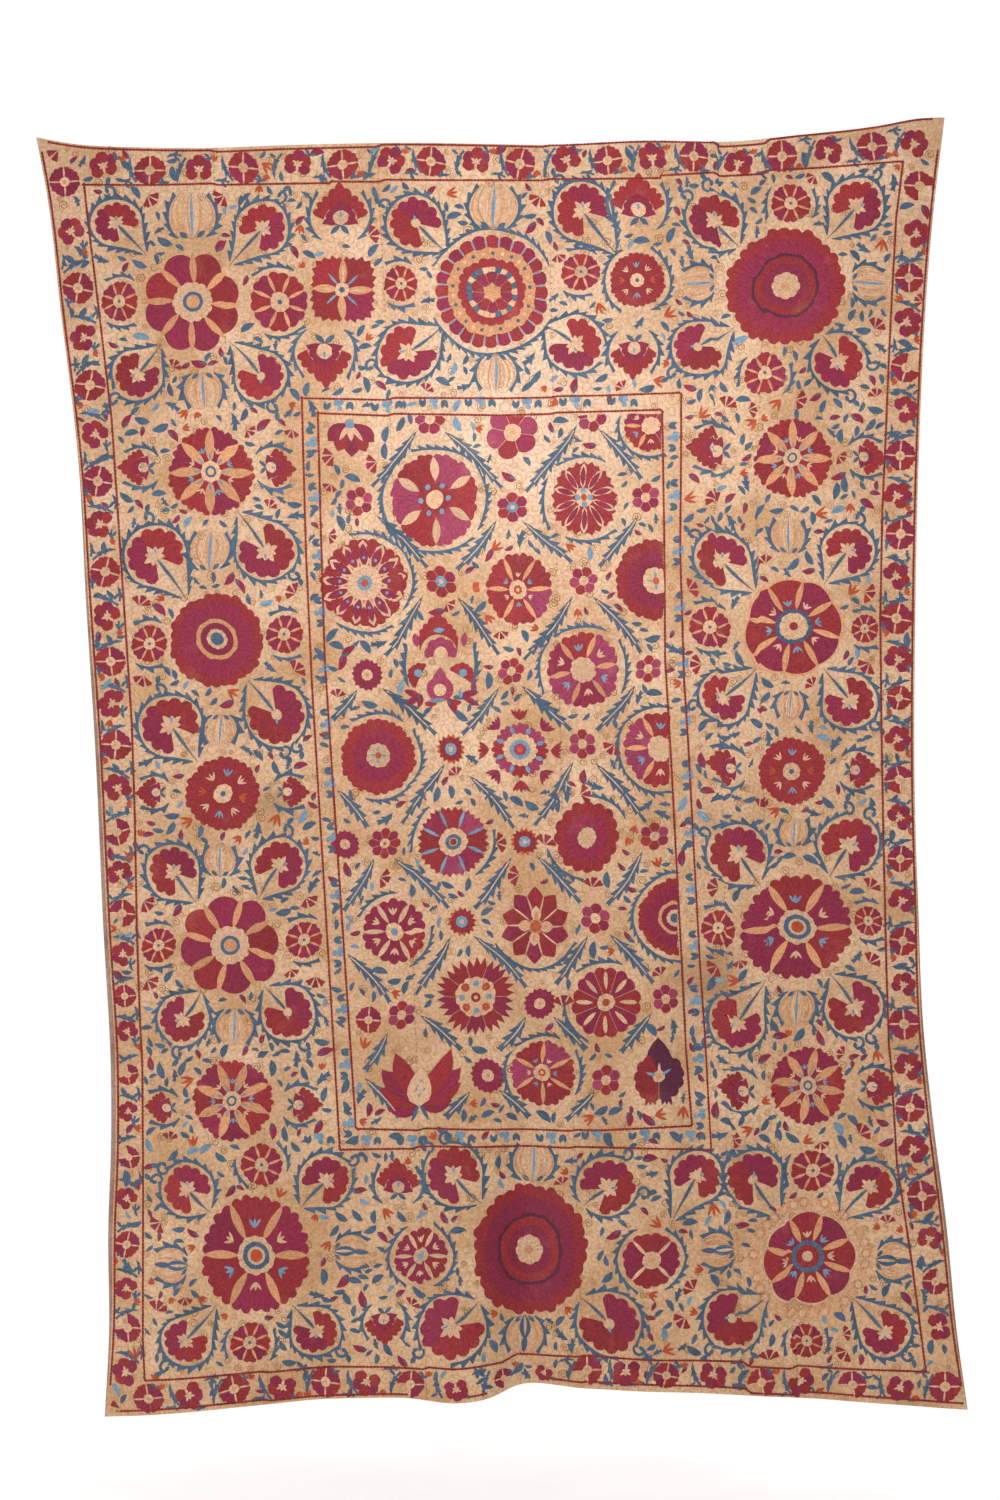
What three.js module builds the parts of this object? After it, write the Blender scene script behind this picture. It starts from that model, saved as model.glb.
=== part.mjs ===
// Suzani: an embroidered hanging of five loom-width cotton strips and one narrow strip,
// sewn side by side over one cotton lining.
// Millimetres, +Z up, +X to the viewer's right, and the embroidered face looks towards -Y.
// The origin is the middle of the top edge, where the hanging is held up.

import * as THREE from "three";

// Thickness of the cloths, and the air between pieces that lie against each other
const PANEL_THICKNESS = 1.5;
const LINING_THICKNESS = 1.0;
const PIECE_GAP = 0.3;

// Fineness of the sheets: columns across the strips and rows from the top edge to the hem
const COLUMN_SPACING = 42;
const WAIST_Z = -1250;
const ROWS = 28;

// The settled reach of a fold's two ends, along its own line
const FOLD_END_FADE = 170;

// Colours of the cloths, seen from a step away
const PANEL_COLOUR = 0xc99a6e;
const LINING_COLOUR = 0x9a8078;

// Height of the top edge, from the middle of the hanging's left corner to its right corner
const TOP_EDGE = [
  { x: -906, z: 12 },
  { x: -840, z: 0 },
  { x: -700, z: -7 },
  { x: -590, z: -9 },
  { x: -400, z: -3 },
  { x: -120, z: 2 },
  { x: 0, z: 0 },
  { x: 110, z: -2 },
  { x: 300, z: 5 },
  { x: 500, z: 5 },
  { x: 620, z: 18 },
  { x: 780, z: 36 },
  { x: 860, z: 50 },
  { x: 908, z: 52 },
];

// Height of the hem. It waves forward and down left of the middle, then steps up.
const HEM = [
  { x: -770, z: -2546 },
  { x: -700, z: -2542 },
  { x: -600, z: -2533 },
  { x: -480, z: -2523 },
  { x: -300, z: -2510 },
  { x: -180, z: -2506 },
  { x: -60, z: -2512 },
  { x: 0, z: -2505 },
  { x: 55, z: -2485 },
  { x: 200, z: -2488 },
  { x: 440, z: -2498 },
  { x: 640, z: -2510 },
  { x: 860, z: -2523 },
  { x: 952, z: -2528 },
];

// Side edges of the embroidered cloth, drawn in between the pulled-out corners
const LEFT_EDGE = [
  { z: 12, x: -906 },
  { z: -92, x: -886 },
  { z: -332, x: -858 },
  { z: -652, x: -820 },
  { z: -892, x: -805 },
  { z: -1212, x: -783 },
  { z: -1532, x: -767 },
  { z: -1852, x: -750 },
  { z: -2012, x: -750 },
  { z: -2172, x: -756 },
  { z: -2372, x: -758 },
  { z: -2546, x: -770 },
];
const RIGHT_EDGE = [
  { z: 52, x: 908 },
  { z: -92, x: 890 },
  { z: -332, x: 870 },
  { z: -652, x: 856 },
  { z: -1000, x: 849 },
  { z: -1250, x: 848 },
  { z: -1532, x: 855 },
  { z: -1800, x: 864 },
  { z: -1932, x: 877 },
  { z: -2172, x: 907 },
  { z: -2372, x: 928 },
  { z: -2528, x: 952 },
];

// The five seams between the strips, from the top edge to the hem. The last two bound the
// narrow strip.
const SEAMS = [
  [
    { z: 0, x: -556 },
    { z: -312, x: -534 },
    { z: -982, x: -494 },
    { z: -1602, x: -462 },
    { z: -2292, x: -446 },
    { z: -2530, x: -444 },
  ],
  [
    { z: 0, x: -226 },
    { z: -600, x: -198 },
    { z: -1212, x: -170 },
    { z: -1800, x: -148 },
    { z: -2510, x: -126 },
  ],
  [
    { z: 0, x: 116 },
    { z: -700, x: 130 },
    { z: -1392, x: 146 },
    { z: -1950, x: 166 },
    { z: -2490, x: 190 },
  ],
  [
    { z: 10, x: 458 },
    { z: -702, x: 448 },
    { z: -1112, x: 458 },
    { z: -2012, x: 486 },
    { z: -2512, x: 512 },
  ],
  [
    { z: 35, x: 556 },
    { z: -292, x: 548 },
    { z: -632, x: 534 },
    { z: -1012, x: 538 },
    { z: -1412, x: 550 },
    { z: -2012, x: 576 },
    { z: -2508, x: 620 },
  ],
];

// How far the lining shows past the embroidered cloth at each side
const LINING_SHOWS_LEFT = [
  { z: 0, past: 0.5 },
  { z: -600, past: 1 },
  { z: -900, past: 4 },
  { z: -1400, past: 7 },
  { z: -1900, past: 9 },
  { z: -2200, past: 8 },
  { z: -2450, past: 3 },
  { z: -2540, past: 1 },
];
const LINING_SHOWS_RIGHT = [
  { z: 50, past: 0.5 },
  { z: -1500, past: 1 },
  { z: -1800, past: 4 },
  { z: -2250, past: 4.5 },
  { z: -2528, past: 1 },
];

// The folds: each runs from one point to another, and stands forward (+) or back (-)
const FOLDS = [
  { name: "left corner pull", fromX: -880, fromZ: -20, toX: -470, toZ: -640, width: 75, forward: 16 },
  { name: "left corner hollow", fromX: -760, fromZ: 0, toX: -330, toZ: -420, width: 70, forward: -10 },
  { name: "right corner pull", fromX: 890, fromZ: 20, toX: 480, toZ: -640, width: 80, forward: 18 },
  { name: "right corner hollow", fromX: 730, fromZ: 20, toX: 300, toZ: -430, width: 70, forward: -12 },
  { name: "top sag", fromX: -250, fromZ: -60, toX: 330, toZ: -60, width: 90, forward: -8 },
  { name: "second seam furrow", fromX: -205, fromZ: -560, toX: -160, toZ: -1500, width: 55, forward: -9 },
  { name: "left crease", fromX: -415, fromZ: -700, toX: -385, toZ: -2000, width: 60, forward: -11 },
  { name: "middle swell", fromX: 20, fromZ: -420, toX: 60, toZ: -1700, width: 170, forward: 15 },
  { name: "right crease", fromX: 480, fromZ: -1180, toX: 500, toZ: -2150, width: 55, forward: 13 },
  { name: "right furrow", fromX: 400, fromZ: -1300, toX: 410, toZ: -2200, width: 50, forward: -10 },
  { name: "hem wave", fromX: -50, fromZ: -1950, toX: -60, toZ: -2640, width: 75, forward: 34 },
  { name: "hem step", fromX: 75, fromZ: -1900, toX: 60, toZ: -2640, width: 55, forward: -26 },
  { name: "left hem ripple", fromX: -330, fromZ: -2050, toX: -345, toZ: -2660, width: 80, forward: -16 },
  { name: "left hem swell", fromX: -590, fromZ: -2000, toX: -600, toZ: -2660, width: 90, forward: 15 },
  { name: "right hem swell", fromX: 300, fromZ: -2100, toX: 310, toZ: -2640, width: 80, forward: 15 },
  { name: "right hem ripple", fromX: 640, fromZ: -2000, toX: 660, toZ: -2640, width: 80, forward: -15 },
  { name: "left hem corner", fromX: -700, fromZ: -1700, toX: -800, toZ: -2640, width: 80, forward: -12 },
  { name: "right hem corner", fromX: 820, fromZ: -1700, toX: 960, toZ: -2640, width: 80, forward: 16 },
];

const clamp01 = (value) => THREE.MathUtils.clamp(value, 0, 1);

// A smooth reading of a short table: `to` at the value `at` of the key `from`
function readTable(table, from, to, at) {
  const rising = table[0][from] < table[table.length - 1][from];
  const rows = rising ? table : [...table].reverse();
  const last = rows.length - 1;
  let k = 0;
  while (k < last - 1 && at > rows[k + 1][from]) k += 1;
  const [a, b] = [rows[k], rows[k + 1]];
  const before = rows[Math.max(k - 1, 0)];
  const after = rows[Math.min(k + 2, last)];
  const span = b[from] - a[from];
  const t = clamp01((at - a[from]) / span);
  const slopeA = ((b[to] - before[to]) / (b[from] - before[from])) * span;
  const slopeB = ((after[to] - a[to]) / (after[from] - a[from])) * span;
  const t2 = t * t;
  const t3 = t2 * t;
  return (
    (2 * t3 - 3 * t2 + 1) * a[to] + (t3 - 2 * t2 + t) * slopeA
    + (3 * t2 - 2 * t3) * b[to] + (t3 - t2) * slopeB
  );
}

// How far forward one fold lifts the cloth at a point
function foldHeight(fold, x, z) {
  const runX = fold.toX - fold.fromX;
  const runZ = fold.toZ - fold.fromZ;
  const length = Math.hypot(runX, runZ);
  const along = ((x - fold.fromX) * runX + (z - fold.fromZ) * runZ) / length;
  const across = ((x - fold.fromX) * runZ - (z - fold.fromZ) * runX) / length;
  const start = THREE.MathUtils.smoothstep(along, -FOLD_END_FADE / 2, FOLD_END_FADE);
  const end = 1 - THREE.MathUtils.smoothstep(along, length - FOLD_END_FADE, length + FOLD_END_FADE / 2);
  return fold.forward * start * end * Math.exp(-((across / fold.width) ** 2));
}

// How far the cloth stands forward at a point, over all folds, from zero at the held edge's middle
function relief(x, z) {
  const lift = (atX, atZ) => FOLDS.reduce((sum, fold) => sum + foldHeight(fold, atX, atZ), 0);
  return lift(x, z) - lift(0, 0);
}

// One column of the grid: points from the top edge to the hem along the line x = columnX(z)
function columnPoints(columnX) {
  const settle = (edge, startZ) => {
    let z = startZ;
    for (let pass = 0; pass < 4; pass += 1) z = readTable(edge, "x", "z", columnX(z));
    return z;
  };
  const top = settle(TOP_EDGE, TOP_EDGE[0].z);
  const hem = settle(HEM, HEM[0].z);
  return Array.from({ length: ROWS + 1 }, (_, row) => {
    const z = THREE.MathUtils.lerp(top, hem, row / ROWS);
    const x = columnX(z);
    return { x, z, forward: relief(x, z) };
  });
}

// A closed sheet on a grid of columns, from its front face back through its thickness
function sheetGeometry(columns, frontY, thickness) {
  const across = columns.length;
  const down = ROWS + 1;
  const positions = [];
  for (const y of [frontY, frontY + thickness]) {
    for (const column of columns) {
      for (const point of column) positions.push(point.x, y - point.forward, point.z);
    }
  }
  const index = [];
  const front = (column, row) => column * down + row;
  const back = (column, row) => across * down + column * down + row;
  for (let c = 0; c < across - 1; c += 1) {
    for (let r = 0; r < down - 1; r += 1) {
      index.push(front(c, r), front(c, r + 1), front(c + 1, r + 1));
      index.push(front(c, r), front(c + 1, r + 1), front(c + 1, r));
      index.push(back(c, r), back(c + 1, r + 1), back(c, r + 1));
      index.push(back(c, r), back(c + 1, r), back(c + 1, r + 1));
    }
  }
  const rim = (a, b) => {
    index.push(front(...a), front(...b), back(...b));
    index.push(front(...a), back(...b), back(...a));
  };
  for (let r = 0; r < down - 1; r += 1) {
    rim([0, r + 1], [0, r]);
    rim([across - 1, r], [across - 1, r + 1]);
  }
  for (let c = 0; c < across - 1; c += 1) {
    rim([c, 0], [c + 1, 0]);
    rim([c + 1, down - 1], [c, down - 1]);
  }
  const geometry = new THREE.BufferGeometry();
  geometry.setAttribute("position", new THREE.Float32BufferAttribute(positions, 3));
  geometry.setIndex(index);
  geometry.computeVertexNormals();
  return geometry;
}

// The lines that bound the strips: the left edge, the five seams and the right edge
const boundaries = [LEFT_EDGE, ...SEAMS, RIGHT_EDGE].map(
  (table) => (z) => readTable(table, "z", "x", z),
);

// A column inside a strip, at a share of the way from its left line to its right line
const between = (left, right, share) => (z) => THREE.MathUtils.lerp(left(z), right(z), share);
const shifted = (line, by) => (z) => line(z) + by;
const stripColumns = (left, right) => Math.round((right(WAIST_Z) - left(WAIST_Z)) / COLUMN_SPACING);

// The columns strictly inside one strip, the same for its embroidered cloth and for the lining
function innerColumns(number) {
  const [left, right] = [boundaries[number - 1], boundaries[number]];
  const count = stripColumns(left, right);
  return Array.from({ length: count - 1 }, (_, c) => columnPoints(between(left, right, (c + 1) / count)));
}

function embroideredPanel(number) {
  const outer = boundaries.length - 1;
  const left = number === 1 ? boundaries[0] : shifted(boundaries[number - 1], PIECE_GAP / 2);
  const right = number === outer ? boundaries[outer] : shifted(boundaries[number], -PIECE_GAP / 2);
  const columns = [columnPoints(left), ...innerColumns(number), columnPoints(right)];
  const material = new THREE.MeshStandardMaterial({ color: PANEL_COLOUR, roughness: 0.9, metalness: 0 });
  const mesh = new THREE.Mesh(sheetGeometry(columns, 0, PANEL_THICKNESS), material);
  mesh.name = `embroidered_panel_${number}`;
  return mesh;
}

function backLining() {
  const first = boundaries[0];
  const last = boundaries[boundaries.length - 1];
  const leftRim = (z) => first(z) - readTable(LINING_SHOWS_LEFT, "z", "past", z);
  const rightRim = (z) => last(z) + readTable(LINING_SHOWS_RIGHT, "z", "past", z);
  const columns = [columnPoints(leftRim), columnPoints(first)];
  for (let number = 1; number < boundaries.length; number += 1) {
    columns.push(...innerColumns(number), columnPoints(boundaries[number]));
  }
  columns.push(columnPoints(rightRim));
  const material = new THREE.MeshStandardMaterial({ color: LINING_COLOUR, roughness: 0.95, metalness: 0 });
  const frontY = PANEL_THICKNESS + PIECE_GAP;
  const mesh = new THREE.Mesh(sheetGeometry(columns, frontY, LINING_THICKNESS), material);
  mesh.name = "lining";
  return mesh;
}

const suzani = new THREE.Group();
for (let number = 1; number < boundaries.length; number += 1) suzani.add(embroideredPanel(number));
suzani.add(backLining());

export default suzani;
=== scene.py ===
"""Suzani: a hanging of six sewn cotton strips, worked all over in dyed silk, on a plain lining.

Metres, +Z up, +X to the viewer's right; the embroidered face looks towards -Y. The drawing is laid
out flat, in millimetres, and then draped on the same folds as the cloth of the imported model.
"""

import logging
import math
from dataclasses import dataclass, field
from enum import Enum

import bpy
import numpy as np
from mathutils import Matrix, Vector


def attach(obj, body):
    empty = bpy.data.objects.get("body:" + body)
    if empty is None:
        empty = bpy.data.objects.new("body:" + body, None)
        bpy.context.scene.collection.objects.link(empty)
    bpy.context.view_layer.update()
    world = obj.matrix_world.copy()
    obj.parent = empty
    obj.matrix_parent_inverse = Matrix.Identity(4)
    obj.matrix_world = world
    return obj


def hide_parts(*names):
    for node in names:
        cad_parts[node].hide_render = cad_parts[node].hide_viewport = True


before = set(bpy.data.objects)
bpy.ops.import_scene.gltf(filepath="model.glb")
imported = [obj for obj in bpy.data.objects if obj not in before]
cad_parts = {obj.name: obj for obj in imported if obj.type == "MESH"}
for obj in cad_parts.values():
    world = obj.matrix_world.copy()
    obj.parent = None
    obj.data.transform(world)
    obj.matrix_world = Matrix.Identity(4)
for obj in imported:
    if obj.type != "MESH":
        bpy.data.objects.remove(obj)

logging.basicConfig(level=logging.INFO, format="%(message)s")
log = logging.getLogger("suzani")

Array = np.ndarray
Pair = tuple[float, float]
Piece = bpy.types.Object
Material = bpy.types.Material
Tree = bpy.types.NodeTree
Node = bpy.types.Node
Socket = bpy.types.NodeSocket

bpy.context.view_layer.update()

MM = 0.001
# Faces that meet at more than this, in degrees, meet in a crisp edge
SHARP_ANGLE = 48

# The photograph lies on the cloth at this scale, with its top middle at this pixel
MM_PER_PIXEL = 2.0
MIDDLE_PX = 490.0
TOP_PX = 144.0

# Cloth: thickness of the two layers, and air between pieces, in mm
STRIP_THICKNESS = 1.5
LINING_THICKNESS = 1.0
PIECE_GAP = 0.3

# Outline of the hanging, in mm: height of its top edge and hem, and place of its two sides
TOP_EDGE = [
    (-906, 12), (-840, 0), (-700, -7), (-590, -9), (-400, -3), (-120, 2), (0, 0),
    (110, -2), (300, 5), (500, 5), (620, 18), (780, 36), (860, 50), (908, 52),
]
HEM = [
    (-770, -2546), (-700, -2542), (-600, -2533), (-480, -2523), (-300, -2510), (-180, -2506),
    (-60, -2512), (0, -2505), (55, -2485), (200, -2488), (440, -2498), (640, -2510),
    (860, -2523), (952, -2528),
]
LEFT_EDGE = [
    (12, -906), (-92, -886), (-332, -858), (-652, -820), (-892, -805), (-1212, -783),
    (-1532, -767), (-1852, -750), (-2012, -750), (-2172, -756), (-2372, -758), (-2546, -770),
]
RIGHT_EDGE = [
    (52, 908), (-92, 890), (-332, 870), (-652, 856), (-1000, 849), (-1250, 848), (-1532, 855),
    (-1800, 864), (-1932, 877), (-2172, 907), (-2372, 928), (-2528, 952),
]
SEAMS = [
    [(0, -556), (-312, -534), (-982, -494), (-1602, -462), (-2292, -446), (-2530, -444)],
    [(0, -226), (-600, -198), (-1212, -170), (-1800, -148), (-2510, -126)],
    [(0, 116), (-700, 130), (-1392, 146), (-1950, 166), (-2490, 190)],
    [(10, 458), (-702, 448), (-1112, 458), (-2012, 486), (-2512, 512)],
    [(35, 556), (-292, 548), (-632, 534), (-1012, 538), (-1412, 550), (-2012, 576), (-2508, 620)],
]
# Within this box a shape is sure to be on the cloth, and elsewhere it keeps clear of edges, in mm
SAFE_HALF_WIDTH, SAFE_TOP, SAFE_HEM = 720, -40, -2440
EDGE_CLEAR = 4.0
# The strips were embroidered apart, so the drawing slips up or down from one to the next, in mm
STRIP_SLIPS = (0.0, -3.0, 1.5, 4.0, -4.5, 2.5)
LINING_SHOWS_LEFT = [
    (0, 0.5), (-600, 1), (-900, 4), (-1400, 7), (-1900, 9), (-2200, 8), (-2450, 3), (-2540, 1),
]
LINING_SHOWS_RIGHT = [(50, 0.5), (-1500, 1), (-1800, 4), (-2250, 4.5), (-2528, 1)]

# Flat width and length of each cloth before it was hung, in metres
FLAT_STRIPS = [(0.33, 2.54), (0.32, 2.51), (0.32, 2.50), (0.33, 2.50), (0.10, 2.53), (0.33, 2.56)]


class Dye(Enum):
    """Silk colours. Each is worked as one piece of needlework."""

    CRIMSON = "crimson_silk_work"
    MAGENTA = "magenta_silk_work"
    ROSE = "rose_silk_work"
    PLUM = "plum_silk_work"
    BLUE = "blue_silk_work"
    SKY = "sky_silk_work"
    CREAM = "cream_silk_work"
    SALMON = "salmon_silk_work"
    ORANGE = "orange_silk_work"


CRIMSON, MAGENTA, ROSE, PLUM = Dye.CRIMSON, Dye.MAGENTA, Dye.ROSE, Dye.PLUM
BLUE, SKY, CREAM, SALMON, ORANGE = Dye.BLUE, Dye.SKY, Dye.CREAM, Dye.SALMON, Dye.ORANGE


class Rim(Enum):
    """How the outer edge of a worked shape is cut."""

    PLAIN = "plain"
    SCALLOPED = "scalloped"
    TOOTHED = "toothed"


PLAIN, SCALLOPED, TOOTHED = Rim.PLAIN, Rim.SCALLOPED, Rim.TOOTHED


class Kind(Enum):
    """What a layer of a flower is made of."""

    WEDGES = "wedges"
    BAND = "band"
    LEAVES = "leaves"
    DOTS = "dots"
    SPRIGS = "sprigs"


def spot(px: float, py: float) -> Array:
    """Finds where a pixel of the photograph lies on the flat cloth.

    Args:
        px: Pixel across from the photograph's left edge.
        py: Pixel down from its top edge.

    Returns:
        The point's x and z on the cloth, in mm.
    """
    return np.array([(px - MIDDLE_PX) * MM_PER_PIXEL, -(py - TOP_PX) * MM_PER_PIXEL])


def read_table(table: list[Pair], at: Array) -> Array:
    """Reads a smooth curve through the rows of a table.

    Args:
        table: Rows of place and value.
        at: Places to read.

    Returns:
        The value at each place, held level beyond the table's ends.
    """
    rows = sorted(table)
    place = np.array([row[0] for row in rows], float)
    value = np.array([row[1] for row in rows], float)
    slope = np.gradient(value, place)
    spot_at = np.clip(at, place[0], place[-1])
    i = np.clip(np.searchsorted(place, spot_at, side="right") - 1, 0, len(place) - 2)
    span = place[i + 1] - place[i]
    t = (spot_at - place[i]) / span
    near = (1 + 2 * t) * (1 - t) ** 2 * value[i] + t * (1 - t) ** 2 * span * slope[i]
    far = t * t * (3 - 2 * t) * value[i + 1] - t * t * (1 - t) * span * slope[i + 1]
    return near + far


def settle(share: Array) -> Array:
    """Smooth step from 0 to 1, level beyond its ends."""
    t = np.clip(share, 0, 1)
    return t * t * (3 - 2 * t)


@dataclass(frozen=True)
class Fold:
    """A soft trough or ridge of the hanging cloth, in mm."""

    start: Pair
    end: Pair
    width: float
    forward: float
    end_fade: float = 170.0

    def lift(self, x: Array, z: Array) -> Array:
        """Finds how far forward this fold lifts the cloth.

        Args:
            x: Places across.
            z: Heights.

        Returns:
            The lift at each place, in mm.
        """
        run_x, run_z = self.end[0] - self.start[0], self.end[1] - self.start[1]
        length = math.hypot(run_x, run_z)
        off_x, off_z = x - self.start[0], z - self.start[1]
        along = (off_x * run_x + off_z * run_z) / length
        across = (off_x * run_z - off_z * run_x) / length
        half = self.end_fade / 2
        rise = settle((along + half) / (self.end_fade + half))
        fall = 1 - settle((along - length + self.end_fade) / (self.end_fade + half))
        return self.forward * rise * fall * np.exp(-((across / self.width) ** 2))


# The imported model's own folds
MAIN_FOLDS = [
    # Pulls and hollows at the two top corners
    Fold((-880, -20), (-470, -640), 75, 16),
    Fold((-760, 0), (-330, -420), 70, -10),
    Fold((890, 20), (480, -640), 80, 18),
    Fold((730, 20), (300, -430), 70, -12),
    # The sagging top edge, furrows and creases, and the swell of the middle
    Fold((-250, -60), (330, -60), 90, -8),
    Fold((-205, -560), (-160, -1500), 55, -9),
    Fold((-415, -700), (-385, -2000), 60, -11),
    Fold((20, -420), (60, -1700), 170, 15),
    Fold((480, -1180), (500, -2150), 55, 13),
    Fold((400, -1300), (410, -2200), 50, -10),
    # Waves and ripples of the hem
    Fold((-50, -1950), (-60, -2640), 75, 34),
    Fold((75, -1900), (60, -2640), 55, -26),
    Fold((-330, -2050), (-345, -2660), 80, -16),
    Fold((-590, -2000), (-600, -2660), 90, 15),
    Fold((300, -2100), (310, -2640), 80, 15),
    Fold((640, -2000), (660, -2640), 80, -15),
    Fold((-700, -1700), (-800, -2640), 80, -12),
    Fold((820, -1700), (960, -2640), 80, 16),
]

# Height of the slight waves all over the cloth, in mm
UNEVENNESS = 0.5

# Fine creases that only show close by
FINE_CREASES = [
    # Creases from storage
    Fold((-380, -1302), (440, -1302), 16, 3.0),
    Fold((-300, -640), (380, -650), 14, 1.4),
    # Puckers beside the seams
    Fold((-560, -880), (-520, -1560), 22, -2.6),
    Fold((96, -830), (110, -1290), 24, -3.0),
    Fold((318, -560), (322, -1300), 22, -2.4),
    Fold((505, -1460), (515, -1900), 20, -2.6),
    # Wrinkles at the top corners
    Fold((-800, -120), (-560, -420), 18, 2.2),
    Fold((800, -100), (600, -380), 18, 2.2),
]


def relief(x: Array, z: Array) -> Array:
    """Finds how far the cloth stands forward, from zero at the middle of the held edge.

    Args:
        x: Places across, in mm.
        z: Heights, in mm.

    Returns:
        The distance towards the viewer at each place, in mm.
    """
    x, z = np.asarray(x, float), np.asarray(z, float)
    total = np.zeros(np.broadcast(x, z).shape)
    zero = np.zeros(1)
    for fold in MAIN_FOLDS:
        total = total + fold.lift(x, z) - fold.lift(zero, zero)
    for crease in FINE_CREASES:
        total = total + crease.lift(x, z)
    ripple = np.sin(x / 61 + z / 240) * np.sin(z / 173 - x / 400) + 0.6 * np.sin(x / 37 - z / 95)
    return total + UNEVENNESS * ripple


def place_on_cloth(x: Array, z: Array, height: Array) -> Array:
    """Drapes flat points over the folds.

    Args:
        x: Places across, in mm.
        z: Heights on the cloth, in mm.
        height: How far each point stands off the cloth's face, in mm.

    Returns:
        Rows of x, y and z in metres.
    """
    return np.stack([x, -relief(x, z) - height, z], axis=-1) * MM


def face_direction(x: Array, z: Array) -> Array:
    """Finds the way the cloth's face looks.

    Args:
        x: Places across, in mm.
        z: Heights, in mm.

    Returns:
        Unit rows that point out of the embroidered face.
    """
    step = 2.0
    tilt_x = (relief(x + step, z) - relief(x - step, z)) / (2 * step)
    tilt_z = (relief(x, z + step) - relief(x, z - step)) / (2 * step)
    facing = np.stack([-tilt_x, -np.ones_like(tilt_x), -tilt_z], axis=-1)
    return facing / np.linalg.norm(facing, axis=-1, keepdims=True)


# Shaders

def linear(code: str) -> tuple[float, float, float, float]:
    """Turns an sRGB hex colour to linear light.

    Args:
        code: Six hex digits after a hash sign.

    Returns:
        Red, green, blue and an alpha of 1.
    """
    shares = [int(code[i:i + 2], 16) / 255 for i in (1, 3, 5)]
    light = [s / 12.92 if s <= 0.04045 else ((s + 0.055) / 1.055) ** 2.4 for s in shares]
    return (*light, 1.0)


def add_node(tree: Tree, kind: str, inputs: dict | None = None, **settings: object) -> Node:
    """Adds a node.

    Args:
        tree: The tree that takes it.
        kind: Its type.
        inputs: Socket to value, or to the output that feeds it.
        settings: Its own properties.

    Returns:
        The node.
    """
    node = tree.nodes.new(kind)
    for name, value in settings.items():
        setattr(node, name, value)
    for socket, value in (inputs or {}).items():
        if isinstance(value, Socket):
            tree.links.new(value, node.inputs[socket])
        else:
            node.inputs[socket].default_value = value
    return node


def noise(tree: Tree, place: Socket, scale: float, detail: float = 2.0, roughness: float = 0.5
          ) -> Socket:
    """Adds a noise with the given number of cells to a metre."""
    return add_node(tree, "ShaderNodeTexNoise", {"Scale": scale, "Detail": detail,
                    "Roughness": roughness, "Vector": place}).outputs["Fac"]


def mix(tree: Tree, one: object, two: object, factor: object = 1.0, blend: str = "MIX") -> Socket:
    """Mixes two colours, each a value or an output, by the share of the second."""
    return add_node(tree, "ShaderNodeMix", {"A": one, "B": two, "Factor": factor},
                    data_type="RGBA", blend_type=blend).outputs["Result"]


def reckon(tree: Tree, operation: str, *values: object) -> Socket:
    """Adds a sum on numbers or outputs, in the order of the node's sockets."""
    return add_node(tree, "ShaderNodeMath", dict(enumerate(values)), operation=operation).outputs[0]


def fading(tree: Tree, source: Socket, start: float, end: float, most: float) -> Socket:
    """Turns an output into a share that rises from 0 at the start to the most at the end."""
    return add_node(tree, "ShaderNodeMapRange", {"Value": source, "From Min": start,
                    "From Max": end, "To Max": most}).outputs["Result"]


def ramp(tree: Tree, source: Socket, stops: list[tuple[float, tuple]]) -> Socket:
    """Adds a colour ramp.

    Args:
        tree: The tree that takes it.
        source: What drives it.
        stops: Place and linear colour of each stop.

    Returns:
        The ramp's colour output.
    """
    node = add_node(tree, "ShaderNodeValToRGB", {"Fac": source})
    elements = node.color_ramp.elements
    while len(elements) < len(stops):
        elements.new(0.5)
    for element, (place, colour) in zip(elements, stops):
        element.position = place
        element.color = colour
    return node.outputs["Color"]


def grey(value: float) -> tuple[float, float, float, float]:
    """A grey as a ramp colour."""
    return (value, value, value, 1.0)


def new_material(name: str) -> tuple[Material, Tree, Node]:
    """Starts a material.

    Args:
        name: What the material really is.

    Returns:
        The material, its tree and its shader.
    """
    material = bpy.data.materials.new(name)
    material.use_nodes = True
    return material, material.node_tree, material.node_tree.nodes["Principled BSDF"]


def finish_shader(tree: Tree, shader: Node, colour: Socket, height: Socket, bump: Pair,
                  shine: dict[str, float]) -> None:
    """Joins a colour and a bump to a shader, and sets how it shines.

    Args:
        tree: The material's tree.
        shader: Its shader.
        colour: Its colour.
        height: What its bump follows.
        bump: The bump's strength, and its depth in mm.
        shine: The shader's other sockets and their values.
    """
    raised = add_node(tree, "ShaderNodeBump", {"Strength": bump[0], "Distance": bump[1] * MM,
                                               "Height": height})
    tree.links.new(colour, shader.inputs["Base Color"])
    tree.links.new(raised.outputs["Normal"], shader.inputs["Normal"])
    for socket, value in shine.items():
        shader.inputs[socket].default_value = value


SILK_SHINE = {"Roughness": 0.55, "Sheen Weight": 0.04, "Sheen Roughness": 0.45,
              "Specular IOR Level": 0.22}
COTTON_SHINE = {"Roughness": 0.92, "Sheen Weight": 0.03, "Specular IOR Level": 0.12}
CHAIN_SHINE = {"Roughness": 0.6, "Specular IOR Level": 0.2}


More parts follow.
